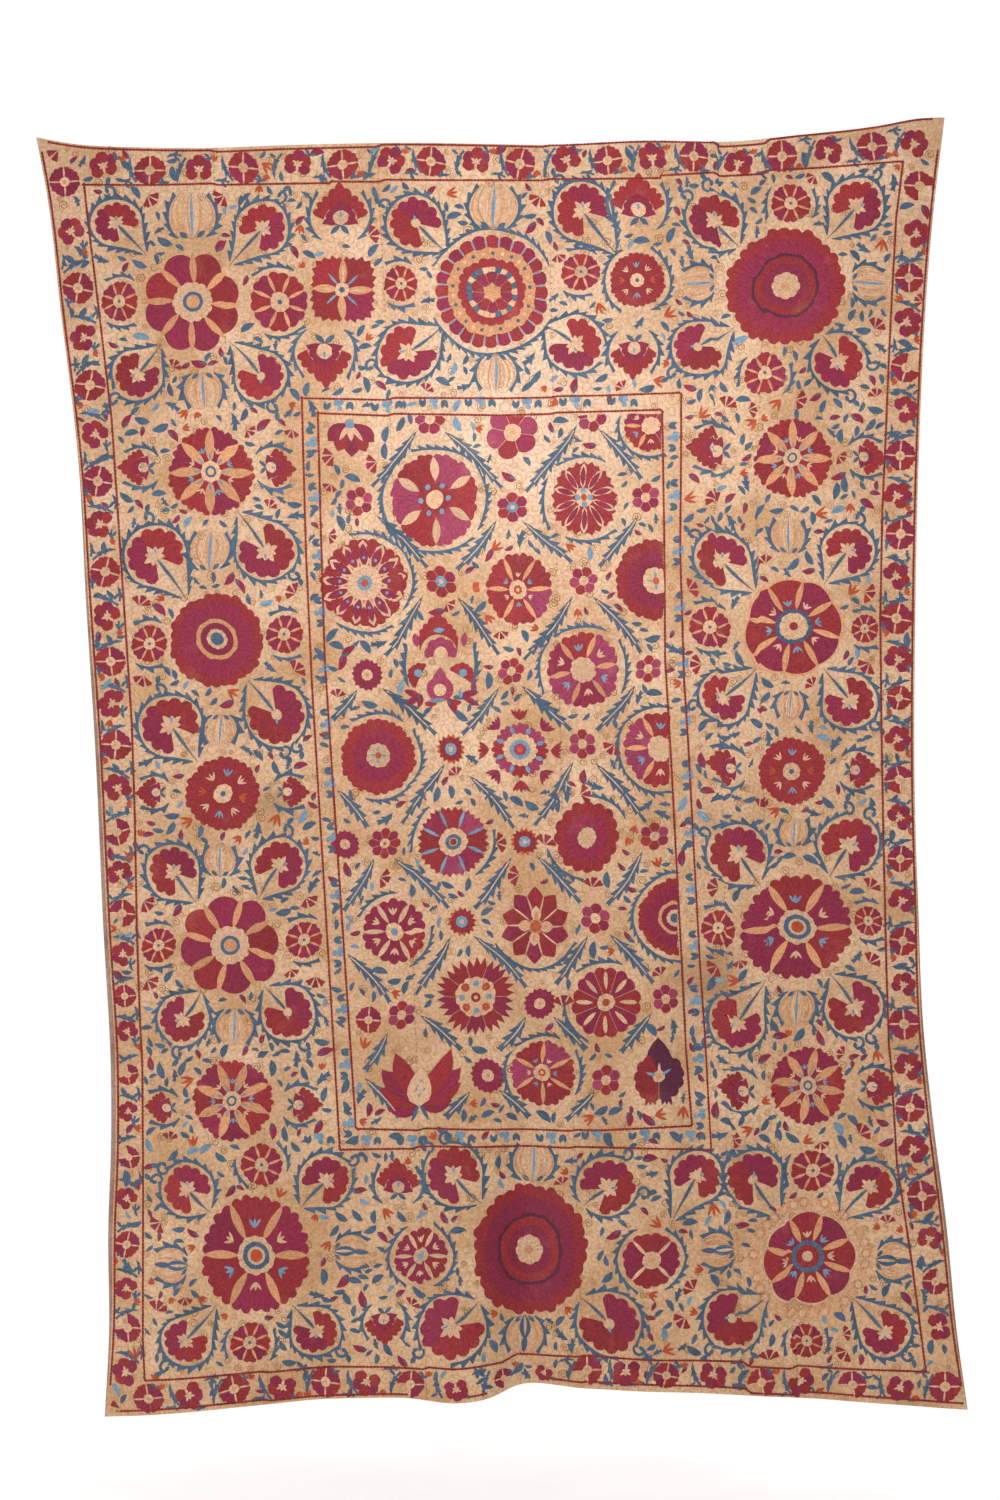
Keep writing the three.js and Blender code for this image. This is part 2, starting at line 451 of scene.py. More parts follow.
@dataclass(frozen=True)
class SilkFloss:
    """Untwisted silk floss, dyed and laid in flat rows that tiny stitches hold down.

    To the eye it is satiny and streaked along the thread, and darker in its worn and soiled places;
    shade is painted into the gaps between its holding stitches.
    """

    name: str
    main: str
    streak: str
    worn: str
    # Real floss is laid at 1 mm and held every 3 mm; both are drawn coarser so that they show
    row_mm: float = 3.0
    hold_mm: float = 6.0
    hold_slant: float = 0.25
    streaks_per_m: float = 60.0
    most_wear: float = 0.55
    # Brightness of the shade painted into the gaps between the holding stitches
    painted_gap_tone: float = 0.66
    bump: Pair = (0.6, 1.4)

    def build(self) -> Material:
        """Builds the material.

        Returns:
            The material, which reads the pieces' own thread map and shade attribute.
        """
        material, tree, shader = new_material(self.name)
        thread = add_node(tree, "ShaderNodeUVMap", uv_map="thread").outputs["UV"]
        place = add_node(tree, "ShaderNodeTexCoord").outputs["Object"]
        rows_per_m = 1 / (self.row_mm * MM)
        rows = add_node(tree, "ShaderNodeMapping",
                        {"Scale": (self.streaks_per_m, rows_per_m, 1.0), "Vector": thread})
        streaks = noise(tree, rows.outputs["Vector"], 1.0, 3.0, 0.6)
        colour = ramp(tree, streaks, [(0.30, linear(self.streak)), (0.62, linear(self.main))])
        shade = add_node(tree, "ShaderNodeAttribute", attribute_name="shade").outputs["Fac"]
        tinted = add_node(tree, "ShaderNodeHueSaturation", {"Value": shade, "Color": colour})
        soil = noise(tree, place, 14.0, 5.0, 0.65)
        worn = ramp(tree, soil, [(0.58, grey(0.0)), (0.78, grey(self.most_wear))])
        faded = mix(tree, tinted.outputs["Color"], linear(self.worn), worn)
        holds = add_node(tree, "ShaderNodeMapping",
                         {"Scale": (1 / (self.hold_mm * MM), rows_per_m, 1.0),
                          "Rotation": (0.0, 0.0, self.hold_slant), "Vector": thread})
        stitches = add_node(tree, "ShaderNodeTexVoronoi", {"Scale": 1.0, "Randomness": 0.55,
                            "Vector": holds.outputs["Vector"]},
                            distance="CHEBYCHEV").outputs["Distance"]
        # Painted shade: the colour is darkened in the gaps between the holding stitches, where the bump
        # dips
        painted_gap_shade = ramp(tree, stitches, [(0.25, grey(1.0)), (0.60, grey(self.painted_gap_tone))])
        couched_with_painted_shade = mix(tree, faded, painted_gap_shade, blend="MULTIPLY")
        finish_shader(tree, shader, couched_with_painted_shade, stitches, self.bump, SILK_SHINE)
        return material


@dataclass(frozen=True)
class HandwovenCotton:
    """Handwoven cotton, soft and slightly uneven, gone tan with age and marked by stains.

    To the eye it is matt, with a fine plain weave, faint curls in silk of its own colour, and soil, and
    where given a pale pool of painted light.
    """

    name: str
    main: str
    light: str
    soil: str
    curl: str
    # Real threads lie 1.2 mm apart; they are drawn coarser so that they show
    thread_mm: float = 3.4
    curl_mm: float = 20.0
    curl_rings: float = 16.0
    curl_strength: float = 0.5
    # Soiled places, and a pale pool of painted light at the upper middle: middle across and up, reach
    # in metres, and colour
    stains_and_light_pools: tuple[tuple[float, float, float, str], ...] = ()
    # The cloth's lower part is tinted between these heights, by this share
    low_part: tuple[float, float, float] = (-0.9, -2.5, 0.8)
    low_tint: tuple[float, ...] = (1.0, 0.96, 0.88, 1.0)
    bump: Pair = (0.5, 1.1)

    def build(self) -> Material:
        """Builds the material.

        Returns:
            The material, which reads Object coordinates.
        """
        material, tree, shader = new_material(self.name)
        place = add_node(tree, "ShaderNodeTexCoord").outputs["Object"]
        patches = noise(tree, place, 7.0, 5.0, 0.55)
        colour = ramp(tree, patches, [(0.36, linear(self.soil)), (0.50, linear(self.main)),
                                      (0.68, linear(self.light))])
        height = add_node(tree, "ShaderNodeSeparateXYZ", {"Vector": place}).outputs["Z"]
        colour = mix(tree, colour, self.low_tint, fading(tree, height, *self.low_part), "MULTIPLY")
        # Stains, and the pale pool of painted light, each mixed in round its middle
        for x, z, reach, code in self.stains_and_light_pools:
            apart = add_node(tree, "ShaderNodeVectorMath", {0: place, 1: (x, 0.0, z)},
                             operation="DISTANCE").outputs["Value"]
            uneven = reckon(tree, "MULTIPLY_ADD", patches, 0.7 * reach, apart)
            near = fading(tree, uneven, 1.35 * reach, 0.4 * reach, 0.6)
            colour = mix(tree, colour, linear(code), near)
        grain = noise(tree, place, 170.0)
        speck = ramp(tree, grain, [(0.32, grey(0.76)), (0.60, grey(0.99))])
        speckled = mix(tree, colour, speck, blend="MULTIPLY")
        cells = add_node(tree, "ShaderNodeTexVoronoi", {"Scale": 1 / (self.curl_mm * MM),
                         "Randomness": 0.9, "Vector": place}).outputs["Distance"]
        turns = reckon(tree, "SINE", reckon(tree, "MULTIPLY", cells, self.curl_rings))
        rings = ramp(tree, turns, [(0.45, grey(0.0)), (0.95, grey(self.curl_strength))])
        curled = mix(tree, speckled, linear(self.curl), rings)
        # A wave of this node is 1/20 of a turn long at a scale of 1
        scale = 2 * math.pi / (self.thread_mm * MM) / 20
        weft, warp = (add_node(tree, "ShaderNodeTexWave", {"Scale": scale, "Distortion": 0.6,
                               "Vector": place}, bands_direction=way).outputs["Fac"] for way in "ZX")
        fluff = reckon(tree, "ADD", reckon(tree, "MULTIPLY", weft, warp), grain)
        finish_shader(tree, shader, curled, fluff, self.bump, COTTON_SHINE)
        return material


@dataclass(frozen=True)
class ChainFloss:
    """Twisted silk worked as a line of chain stitches: satiny links that catch the light."""

    name: str
    main: str
    dark: str
    bump: Pair = (0.4, 0.6)

    def build(self) -> Material:
        """Builds the material.

        Returns:
            The material, which reads Object coordinates.
        """
        material, tree, shader = new_material(self.name)
        place = add_node(tree, "ShaderNodeTexCoord").outputs["Object"]
        tone = noise(tree, place, 55.0, 4.0)
        colour = ramp(tree, tone, [(0.35, linear(self.dark)), (0.65, linear(self.main))])
        finish_shader(tree, shader, colour, noise(tree, place, 900.0), self.bump, CHAIN_SHINE)
        return material


DYES = {
    CRIMSON: SilkFloss("madder crimson silk floss", "#93292c", "#781c23", "#a65846"),
    MAGENTA: SilkFloss("lac magenta silk floss", "#8b233e", "#6f1831", "#a25058"),
    ROSE: SilkFloss("faded rose silk floss", "#993854", "#802843", "#b06a6c"),
    PLUM: SilkFloss("plum silk floss", "#5c2038", "#48182e", "#78444c"),
    BLUE: SilkFloss("indigo blue silk floss", "#4a5f73", "#34495e", "#757e82"),
    SKY: SilkFloss("pale indigo silk floss", "#7690a4", "#5a788f", "#929a98"),
    CREAM: SilkFloss("undyed cream silk floss", "#d0a888", "#ba8e6a", "#bd9270"),
    SALMON: SilkFloss("faded salmon silk floss", "#cb9268", "#b47a52", "#b98f68"),
    ORANGE: SilkFloss("orange red silk floss", "#b44c2a", "#963a20", "#b87850"),
}
# LIGHT_POOL_TONE is a pale pool of painted light on the cloth's upper middle; SOILED marks are stains
LIGHT_POOL_TONE, SOILED = "#d6bda8", "#86664a"
STAINS_AND_LIGHT_POOL = ((0.06, -0.50, 0.40, LIGHT_POOL_TONE), (0.44, -1.68, 0.10, SOILED), (0.45, -1.36, 0.06, SOILED),
         (-0.43, -1.32, 0.05, SOILED), (0.42, -0.86, 0.05, SOILED), (0.50, -2.02, 0.05, SOILED))
GROUND = HandwovenCotton("handwoven tan cotton", "#c7a182", "#d2b092", "#b9906c", "#a0784e",
                         stains_and_light_pools=STAINS_AND_LIGHT_POOL)
LINING = HandwovenCotton("plain mauve-grey cotton lining", "#9c8074", "#a98d81", "#8a6c60", "#8a6c60",
                         curl_strength=0.0)
GUARD_RED = ChainFloss("madder red chain-stitch silk", "#8a2622", "#6a1818")
CURL_TAN = ChainFloss("ochre silk curls", "#9a6e42", "#805832")
SEAM_THREAD = ChainFloss("cotton seam thread", "#ae8662", "#8f6846")


def linked(name: str, data: bpy.types.ID) -> Piece:
    """Makes an object and links it to the scene.

    Args:
        name: The object's name.
        data: Its mesh, lamp or camera.

    Returns:
        The object.
    """
    piece = bpy.data.objects.new(name, data)
    bpy.context.scene.collection.objects.link(piece)
    return piece


def plain_object(name: str, places: list, faces: list, edges: list = ()) -> Piece:
    """Makes an object from lists.

    Args:
        name: The object's name.
        places: Its vertices, in metres.
        faces: Vertices of each face.
        edges: Vertices of each loose edge.

    Returns:
        The linked object.
    """
    mesh = bpy.data.meshes.new(name)
    mesh.from_pydata(places, edges, faces)
    return linked(name, mesh)


def mesh_object(name: str, vertices: Array, loops: Array, sizes: Array, uv: Array | None = None,
                shade: Array | None = None) -> Piece:
    """Makes an object from flat arrays.

    Args:
        name: The piece's name.
        vertices: Rows of x, y and z in metres.
        loops: Vertex of each face corner, one face after another.
        sizes: Number of corners of each face.
        uv: Thread map of each corner.
        shade: Brightness of each vertex.

    Returns:
        The linked object, smooth within its faces and crisp at its rims.
    """
    mesh = bpy.data.meshes.new(name)
    mesh.vertices.add(len(vertices))
    mesh.vertices.foreach_set("co", vertices.astype(np.float32).ravel())
    mesh.loops.add(len(loops))
    mesh.loops.foreach_set("vertex_index", loops.astype(np.int32))
    mesh.polygons.add(len(sizes))
    mesh.polygons.foreach_set("loop_start", (np.cumsum(sizes) - sizes).astype(np.int32))
    mesh.update(calc_edges=True)
    if uv is not None:
        layer = mesh.uv_layers.new(name="thread")
        layer.data.foreach_set("uv", uv.astype(np.float32).ravel())
    if shade is not None:
        tone = mesh.attributes.new("shade", "FLOAT", "POINT")
        tone.data.foreach_set("value", shade.astype(np.float32))
    mesh.validate()
    mesh.polygons.foreach_set("use_smooth", np.ones(len(mesh.polygons), bool))
    mesh.set_sharp_from_angle(angle=math.radians(SHARP_ANGLE))
    return linked(name, mesh)


def rim_of(index: Array) -> Array:
    """The outer ring of a grid of vertex numbers."""
    return np.concatenate([index[0, :], index[1:, -1], index[-1, -2::-1], index[-2:0:-1, 0]])


def dress(piece: Piece, material: Material) -> None:
    """Gives a piece its finish and its body.

    Args:
        piece: The piece.
        material: Its finish.
    """
    piece.data.materials.clear()
    piece.data.materials.append(material)
    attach(piece, "root")
    log.info("%s: %d faces", piece.name, len(piece.data.polygons))


@dataclass
class Cloths:
    """The six sewn strips and the lining behind them."""

    cell: float = 13.0
    least_columns: int = 8
    length: float = 2540.0
    low: float = -2510.0
    # Rounds of search for the height at which each column meets an edge
    rounds: int = 4
    least_show: float = 0.4

    def columns(self, left: list[Pair], right: list[Pair], count: int) -> tuple[Array, Array]:
        """Lays a grid between two side curves, from the top edge to the hem.

        Args:
            left: Table of the left side.
            right: Table of the right side.
            count: Columns less one.

        Returns:
            Places across and heights, as columns by rows.
        """
        share = np.linspace(0, 1, count + 1)[:, None]

        def across(z: Array) -> Array:
            """Place of each column at a height."""
            near = read_table(left, z)
            return near + (read_table(right, z) - near) * share

        def end(edge: list[Pair], start: float) -> Array:
            """Finds where each column meets an edge.

            Args:
                edge: Table of the edge.
                start: Height at which the search starts.

            Returns:
                Heights of the columns' ends.
            """
            z = np.full((count + 1, 1), start)
            for _ in range(self.rounds):
                z = read_table(edge, across(z))
            return z

        top, hem = end(TOP_EDGE, 0.0), end(HEM, self.low)
        z = top + (hem - top) * np.linspace(0, 1, round(self.length / self.cell) + 1)[None, :]
        return across(z), z

    def backing(self, strips: list[tuple[Array, Array]]) -> tuple[Array, Array]:
        """Gathers the strips' grids into one for the lining, so that it nests behind them.

        Args:
            strips: Places across and heights of each strip.

        Returns:
            Places across and heights, with one more column past each side.
        """
        x, z = (np.concatenate([*(strip[way][:-1] for strip in strips), strips[-1][way][-1:]])
                for way in (0, 1))
        left = x[:1] - np.maximum(read_table(LINING_SHOWS_LEFT, z[:1]), self.least_show)
        right = x[-1:] + np.maximum(read_table(LINING_SHOWS_RIGHT, z[-1:]), self.least_show)
        return np.concatenate([left, x, right]), np.concatenate([z[:1], z, z[-1:]])

    def sheet(self, name: str, grid: tuple[Array, Array], back: float, thick: float) -> Piece:
        """Makes a closed sheet over a grid.

        Args:
            name: The piece's name.
            grid: Places across and heights, columns by rows.
            back: How far its face lies behind the folds.
            thick: Its thickness.

        Returns:
            The sheet.
        """
        front, rear = (place_on_cloth(*grid, np.full(grid[0].shape, -depth)).reshape(-1, 3)
                       for depth in (back, back + thick))
        index = np.arange(len(front)).reshape(grid[0].shape)
        face = np.stack([index[:-1, :-1], index[:-1, 1:], index[1:, 1:], index[1:, :-1]], -1)
        rim = rim_of(index)
        after = np.roll(rim, -1)
        edge = np.stack([rim, rim + len(front), after + len(front), after], -1)
        faces = np.concatenate([q.reshape(-1, 4) for q in (face, face[..., ::-1] + len(front), edge)])
        return mesh_object(name, np.concatenate([front, rear]), faces.ravel(),
                           np.full(len(faces), 4))

    def build(self) -> None:
        """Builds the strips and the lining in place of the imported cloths."""
        ground = GROUND.build()
        sides = [LEFT_EDGE, *SEAMS, RIGHT_EDGE]
        last = len(FLAT_STRIPS)
        strips = []
        for number, flat in enumerate(FLAT_STRIPS, start=1):
            left = [(z, x + (PIECE_GAP / 2 if number > 1 else 0)) for z, x in sides[number - 1]]
            right = [(z, x - (PIECE_GAP / 2 if number < last else 0)) for z, x in sides[number]]
            count = max(round(flat[0] / MM / self.cell), self.least_columns)
            strips.append(self.columns(left, right, count))
            strip = self.sheet(f"cotton_strip_{number}", strips[-1], 0.0, STRIP_THICKNESS)
            dress(strip, ground)
            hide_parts(f"embroidered_panel_{number}")
        lining = self.sheet("cotton_lining", self.backing(strips), STRIP_THICKNESS + PIECE_GAP,
                            LINING_THICKNESS)
        dress(lining, LINING.build())
        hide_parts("lining")


# Flat shapes, in mm on the cloth

def polar(centre: Array, radius: float, angle: float) -> Array:
    """The point at a radius and an angle in radians round a centre."""
    return centre + radius * np.array([math.cos(angle), math.sin(angle)])


def bearing(start: Array, end: Array) -> float:
    """The angle in radians from one point to another."""
    return math.atan2(end[1] - start[1], end[0] - start[0])


def bent_path(start: Array, end: Array, bend: float, share: Array) -> Array:
    """Points along a bowed line.

    Args:
        start: First point.
        end: Last point.
        bend: Bow to the left, as a share of the length.
        share: Place of each point, from 0 to 1.

    Returns:
        The points.
    """
    run = end - start
    side = np.array([-run[1], run[0]])
    bow = 4 * bend * share * (1 - share)
    return start + run * share[:, None] + side * bow[:, None]


# Distance between the points of an arc, in mm
ARC_STEP = 5


def arc_path(centre: Array, radius: float, start: float, end: float) -> Array:
    """Points on an arc, in the order from one angle to the other, in radians."""
    angle = np.linspace(start, end, max(int(abs(end - start) * radius / ARC_STEP), 5))
    return centre + radius * np.stack([np.cos(angle), np.sin(angle)], -1)


def run_along(path: Array) -> Array:
    """Distance along a line to each of its points."""
    return np.concatenate([[0], np.cumsum(np.linalg.norm(np.diff(path, axis=0), axis=1))])


def resample(path: Array, share: Array) -> Array:
    """Points at given shares of a line's length."""
    run = run_along(path)
    return np.stack([np.interp(share * run[-1], run, path[:, i]) for i in (0, 1)], -1)


def path_length(path: Array) -> float:
    """Length of a line through its points."""
    return float(np.linalg.norm(np.diff(path, axis=0), axis=1).sum())


def sides_of(path: Array) -> tuple[Array, Array]:
    """Finds how a line runs at its points.

    Args:
        path: The line.

    Returns:
        Unit directions along it and to its left.
    """
    along = np.gradient(path, axis=0)
    along /= np.linalg.norm(along, axis=1, keepdims=True) + 1e-9
    return along, np.stack([-along[:, 1], along[:, 0]], -1)


def ribbon(path: Array, left: Array, right: Array,
           lean: Array | float = 0.0) -> Array:
    """Widens a line into a strip of three rows of points.

    Args:
        path: The middle line.
        left: Width to the left at each point.
        right: Width to the right at each point.
        lean: How far the side points are pushed forward.

    Returns:
        The grid of points.
    """
    along, side = sides_of(path)
    push = along * np.broadcast_to(lean, (len(path),))[:, None]
    port = path + side * left[:, None] + push * (left > 0)[:, None]
    starboard = path - side * right[:, None] + push * (right > 0)[:, None]
    return np.stack([port, path, starboard], axis=1)


# Distance between the points of a petal, in mm
PETAL_CELL = 9.0
# Leaves: points along a plain one, roundness, width between saw teeth, and the lean of the teeth
LEAF_POINTS = 7
ROUNDNESS = 0.8
NOTCH = 0.40
TOOTH_LEAN = 0.55
# Thorns: lean as a share of their spacing, mean length as a share of the longest, and its swing
THORN_LEAN = 0.62
THORN_MEAN = 0.82
THORN_SWING = 0.18
# How much the petals of one flower differ in length
PETAL_SWING = 0.025


def leaf(start: Array, end: Array, width: float, bend: float = 0.0, belly: float = 1.0,
         teeth: int = 0) -> Array:
    """A leaf, plain or saw-edged.

    Args:
        start: Its foot.
        end: Its tip.
        width: Its greatest width.
        bend: Bow to the left, as a share of its length.
        belly: Above 1 puts the widest place nearer the tip.
        teeth: Saw teeth along each edge.

    Returns:
        The grid of points.
    """
    if teeth:
        share = np.sort(np.concatenate([np.arange(teeth + 1), np.arange(teeth) + TOOTH_LEAN])) / teeth
    else:
        share = np.linspace(0, 1, LEAF_POINTS)
    path = bent_path(start, end, bend, share)
    half = 0.5 * width * np.sin(np.pi * np.clip(share, 0, 1) ** belly) ** ROUNDNESS
    lean = np.zeros(len(share))
    if teeth:
        half[0::2] *= NOTCH
        half[0], half[-1] = 0.0, 0.0
        lean[1::2] = TOOTH_LEAN * path_length(path) / teeth
    return ribbon(path, half, half, lean)


def briar(path: Array, width: float, thorn: float, spacing: float, side: int) -> Array:
    """A thorny stem that tapers to both ends.

    Args:
        path: Its line, from its foot.
        width: Its greatest width.
        thorn: How far its thorns stand out.
        spacing: Distance from thorn to thorn.
        side: 1 for thorns to the left, -1 for the right, 0 for both.

    Returns:
        The grid of points.
    """
    count = max(int(path_length(path) / spacing), 2)
    share = np.sort(np.concatenate([np.arange(count + 1), np.arange(count) + 0.5])) / count
    line = resample(path, share)
    body = 0.5 * width * np.clip(np.sin(np.pi * (0.06 + 0.90 * share)), 0.0, 1) ** 0.5
    spikes = np.zeros(len(share))
    uneven = THORN_MEAN + THORN_SWING * np.sin(5.1 * np.arange(count) + path[0, 0])
    spikes[1::2] = thorn * uneven * (0.6 + 0.4 * np.sin(np.pi * share[1::2]))
    lean = np.zeros(len(share))
    lean[1::2] = THORN_LEAN * spacing
    left = body + spikes * (side >= 0)
    right = body + spikes * (side <= 0)
    left[-1], right[-1] = 0.0, 0.0
    grid = ribbon(line, left, right)
    along, _ = sides_of(line)
    if side >= 0:
        grid[:, 0] += along * lean[:, None]
    if side <= 0:
        grid[:, 2] += along * lean[:, None]
    return grid


def wedge(centre: Array, inner: float, outer: float, start: float, sweep: float, bumps: int = 1,
          rim: Rim = SCALLOPED, depth: float = 0.07, gap: float = 1.2,
          cuts: tuple[Pair, ...] = (), round_off: float = 0.0) -> Array:
    """A slice of a flower between two radii.

    Args:
        centre: The flower's middle.
        inner: Inner radius.
        outer: Outer radius.
        start: First angle, in radians.
        sweep: Angle across; a full turn gives a closed band.
        bumps: Scallops or teeth on its rim.
        rim: How the rim is cut.
        depth: Depth of the scallops or teeth, as a share of the radius.
        gap: Width of bare cloth left beside it.
        cuts: Straight edges that end it, each by its direction in radians and its distance.
        round_off: How far its two corners are drawn in, as a share of the radius.

    Returns:
        The grid of points, rows outwards.
    """
    closed = sweep >= 2 * math.pi - 1e-6
    fine = 4 if rim is SCALLOPED else 2
    if rim is PLAIN:
        fine = 1
    columns = fine * bumps * max(1, math.ceil(sweep * outer / (PETAL_CELL * fine * bumps)))
    share = np.linspace(0, 1, columns + 1)
    beat = (share * bumps) % 1.0
    if rim is SCALLOPED:
        cut = 1 - depth * (1 - np.sin(np.pi * beat) ** 0.7)
    elif rim is TOOTHED:
        cut = 1 - depth * np.abs(2 * beat - 1)
    else:
        cut = np.ones(len(share))
    lobe = np.floor(share * bumps + 1e-6) % bumps
    cut = cut * (1 + PETAL_SWING * np.sin(2.3 * lobe + centre[0]))
    cut = cut * (1 - round_off * np.abs(2 * share - 1) ** 3)
    rows = max(1, math.ceil((outer - inner) / PETAL_CELL))
    step = np.linspace(0, 1, rows + 1)[:, None]
    radius = inner + (outer * cut - inner) * step
    inset = 0.0 if closed else np.minimum(gap / 2 / np.maximum(radius, 1.0), sweep * 0.4)
    angle = start + inset + (sweep - 2 * inset) * share
    for way, distance in cuts:
        slant = np.cos(angle - way)
        radius = np.where(slant > 0.02, np.minimum(radius, distance / np.maximum(slant, 0.02)), radius)
    return centre + radius[..., None] * np.stack([np.cos(angle) + 0 * radius,
                                                  np.sin(angle) + 0 * radius], -1)


def crescent(centre: Array, outer: float, inner: float, drop: float, facing: float,
             sweep: float, bumps: int, point: float = 0.0, depth: float = 0.10) -> Array:
    """A scalloped crescent, with or without a point in its middle.

    Args:
        centre: Middle of its outer circle.
        outer: Radius of its outer circle.
        inner: Radius of its inner circle.
        drop: How far the inner circle's middle lies back from the outer one's.
        facing: The way its back faces, in radians.
        sweep: Angle from horn to horn.
        bumps: Scallops on its back.
        point: How far its middle stands out, as a share of the outer radius.
        depth: Depth of the scallops, as a share of the outer radius.

    Returns:
        The grid of points, rows outwards.
    """
    share = np.linspace(0, 1, 4 * bumps + 1)
    angle = facing + sweep * (share - 0.5)
    rim = 1 - depth * (1 - np.abs(np.sin(np.pi * share * bumps)) ** 0.7)
    rim += point * np.maximum(1 - np.abs(share - 0.5) * 5.5, 0.0) ** 1.4
    ray = np.stack([np.cos(angle), np.sin(angle)], -1)
    low = polar(centre, -drop, facing) + ray * inner
    high = centre + ray * (outer * rim)[:, None]
    return np.stack([low, (low + high) / 2, high])


def slip(x: Array, z: Array) -> Array:
    """How far the drawing stands up or down on the strip that holds each point, in mm."""
    strip = sum((x > read_table(seam, z)).astype(int) for seam in SEAMS)
    return np.array(STRIP_SLIPS)[strip]


# How the pen wandered: the axis it moves, reach, two wavelengths across and up, and start, in mm
WANDER = [(0, 1.5, 71, 19, 0.0), (0, 1.2, 31, -43, 1.3), (1, 1.5, 21, -67, 0.7), (1, 1.2, 47, 33, 0.0)]


def hand_drawn(flat: Array) -> Array:
    """Moves places a little, as a pen drawing wanders from its true circles.

    Args:
        flat: Rows of places on the flat cloth, in mm, with any further columns kept.

    Returns:
        The moved places.
    """
    x, z = flat[:, 0], flat[:, 1]
    moved = flat.copy()
    for axis, reach, wide, tall, start in WANDER:
        moved[:, axis] += reach * np.sin(x / wide + z / tall + start)
    moved[:, 1] += slip(x, z)
    return moved


def edge_room(places: Array) -> Array:
    """How far inside the cloth places lie, across or up to its nearest edge, in mm."""
    x, z = places[..., 0], places[..., 1]
    return np.minimum.reduce([x - read_table(LEFT_EDGE, z), read_table(RIGHT_EDGE, z) - x,
                              read_table(TOP_EDGE, x) - z, z - read_table(HEM, x)])


def on_cloth(grid: Array) -> bool:
    """Tells whether a shape lies on the cloth.

    Args:
        grid: Its points.

    Returns:
        Whether all of it lies on the cloth, clear of the edges.
    """
    x, z = grid[..., 0], grid[..., 1]
    well_inside = abs(x).max() < SAFE_HALF_WIDTH and z.max() < SAFE_TOP and z.min() > SAFE_HEM
    return bool(well_inside or (edge_room(grid) > EDGE_CLEAR).all())


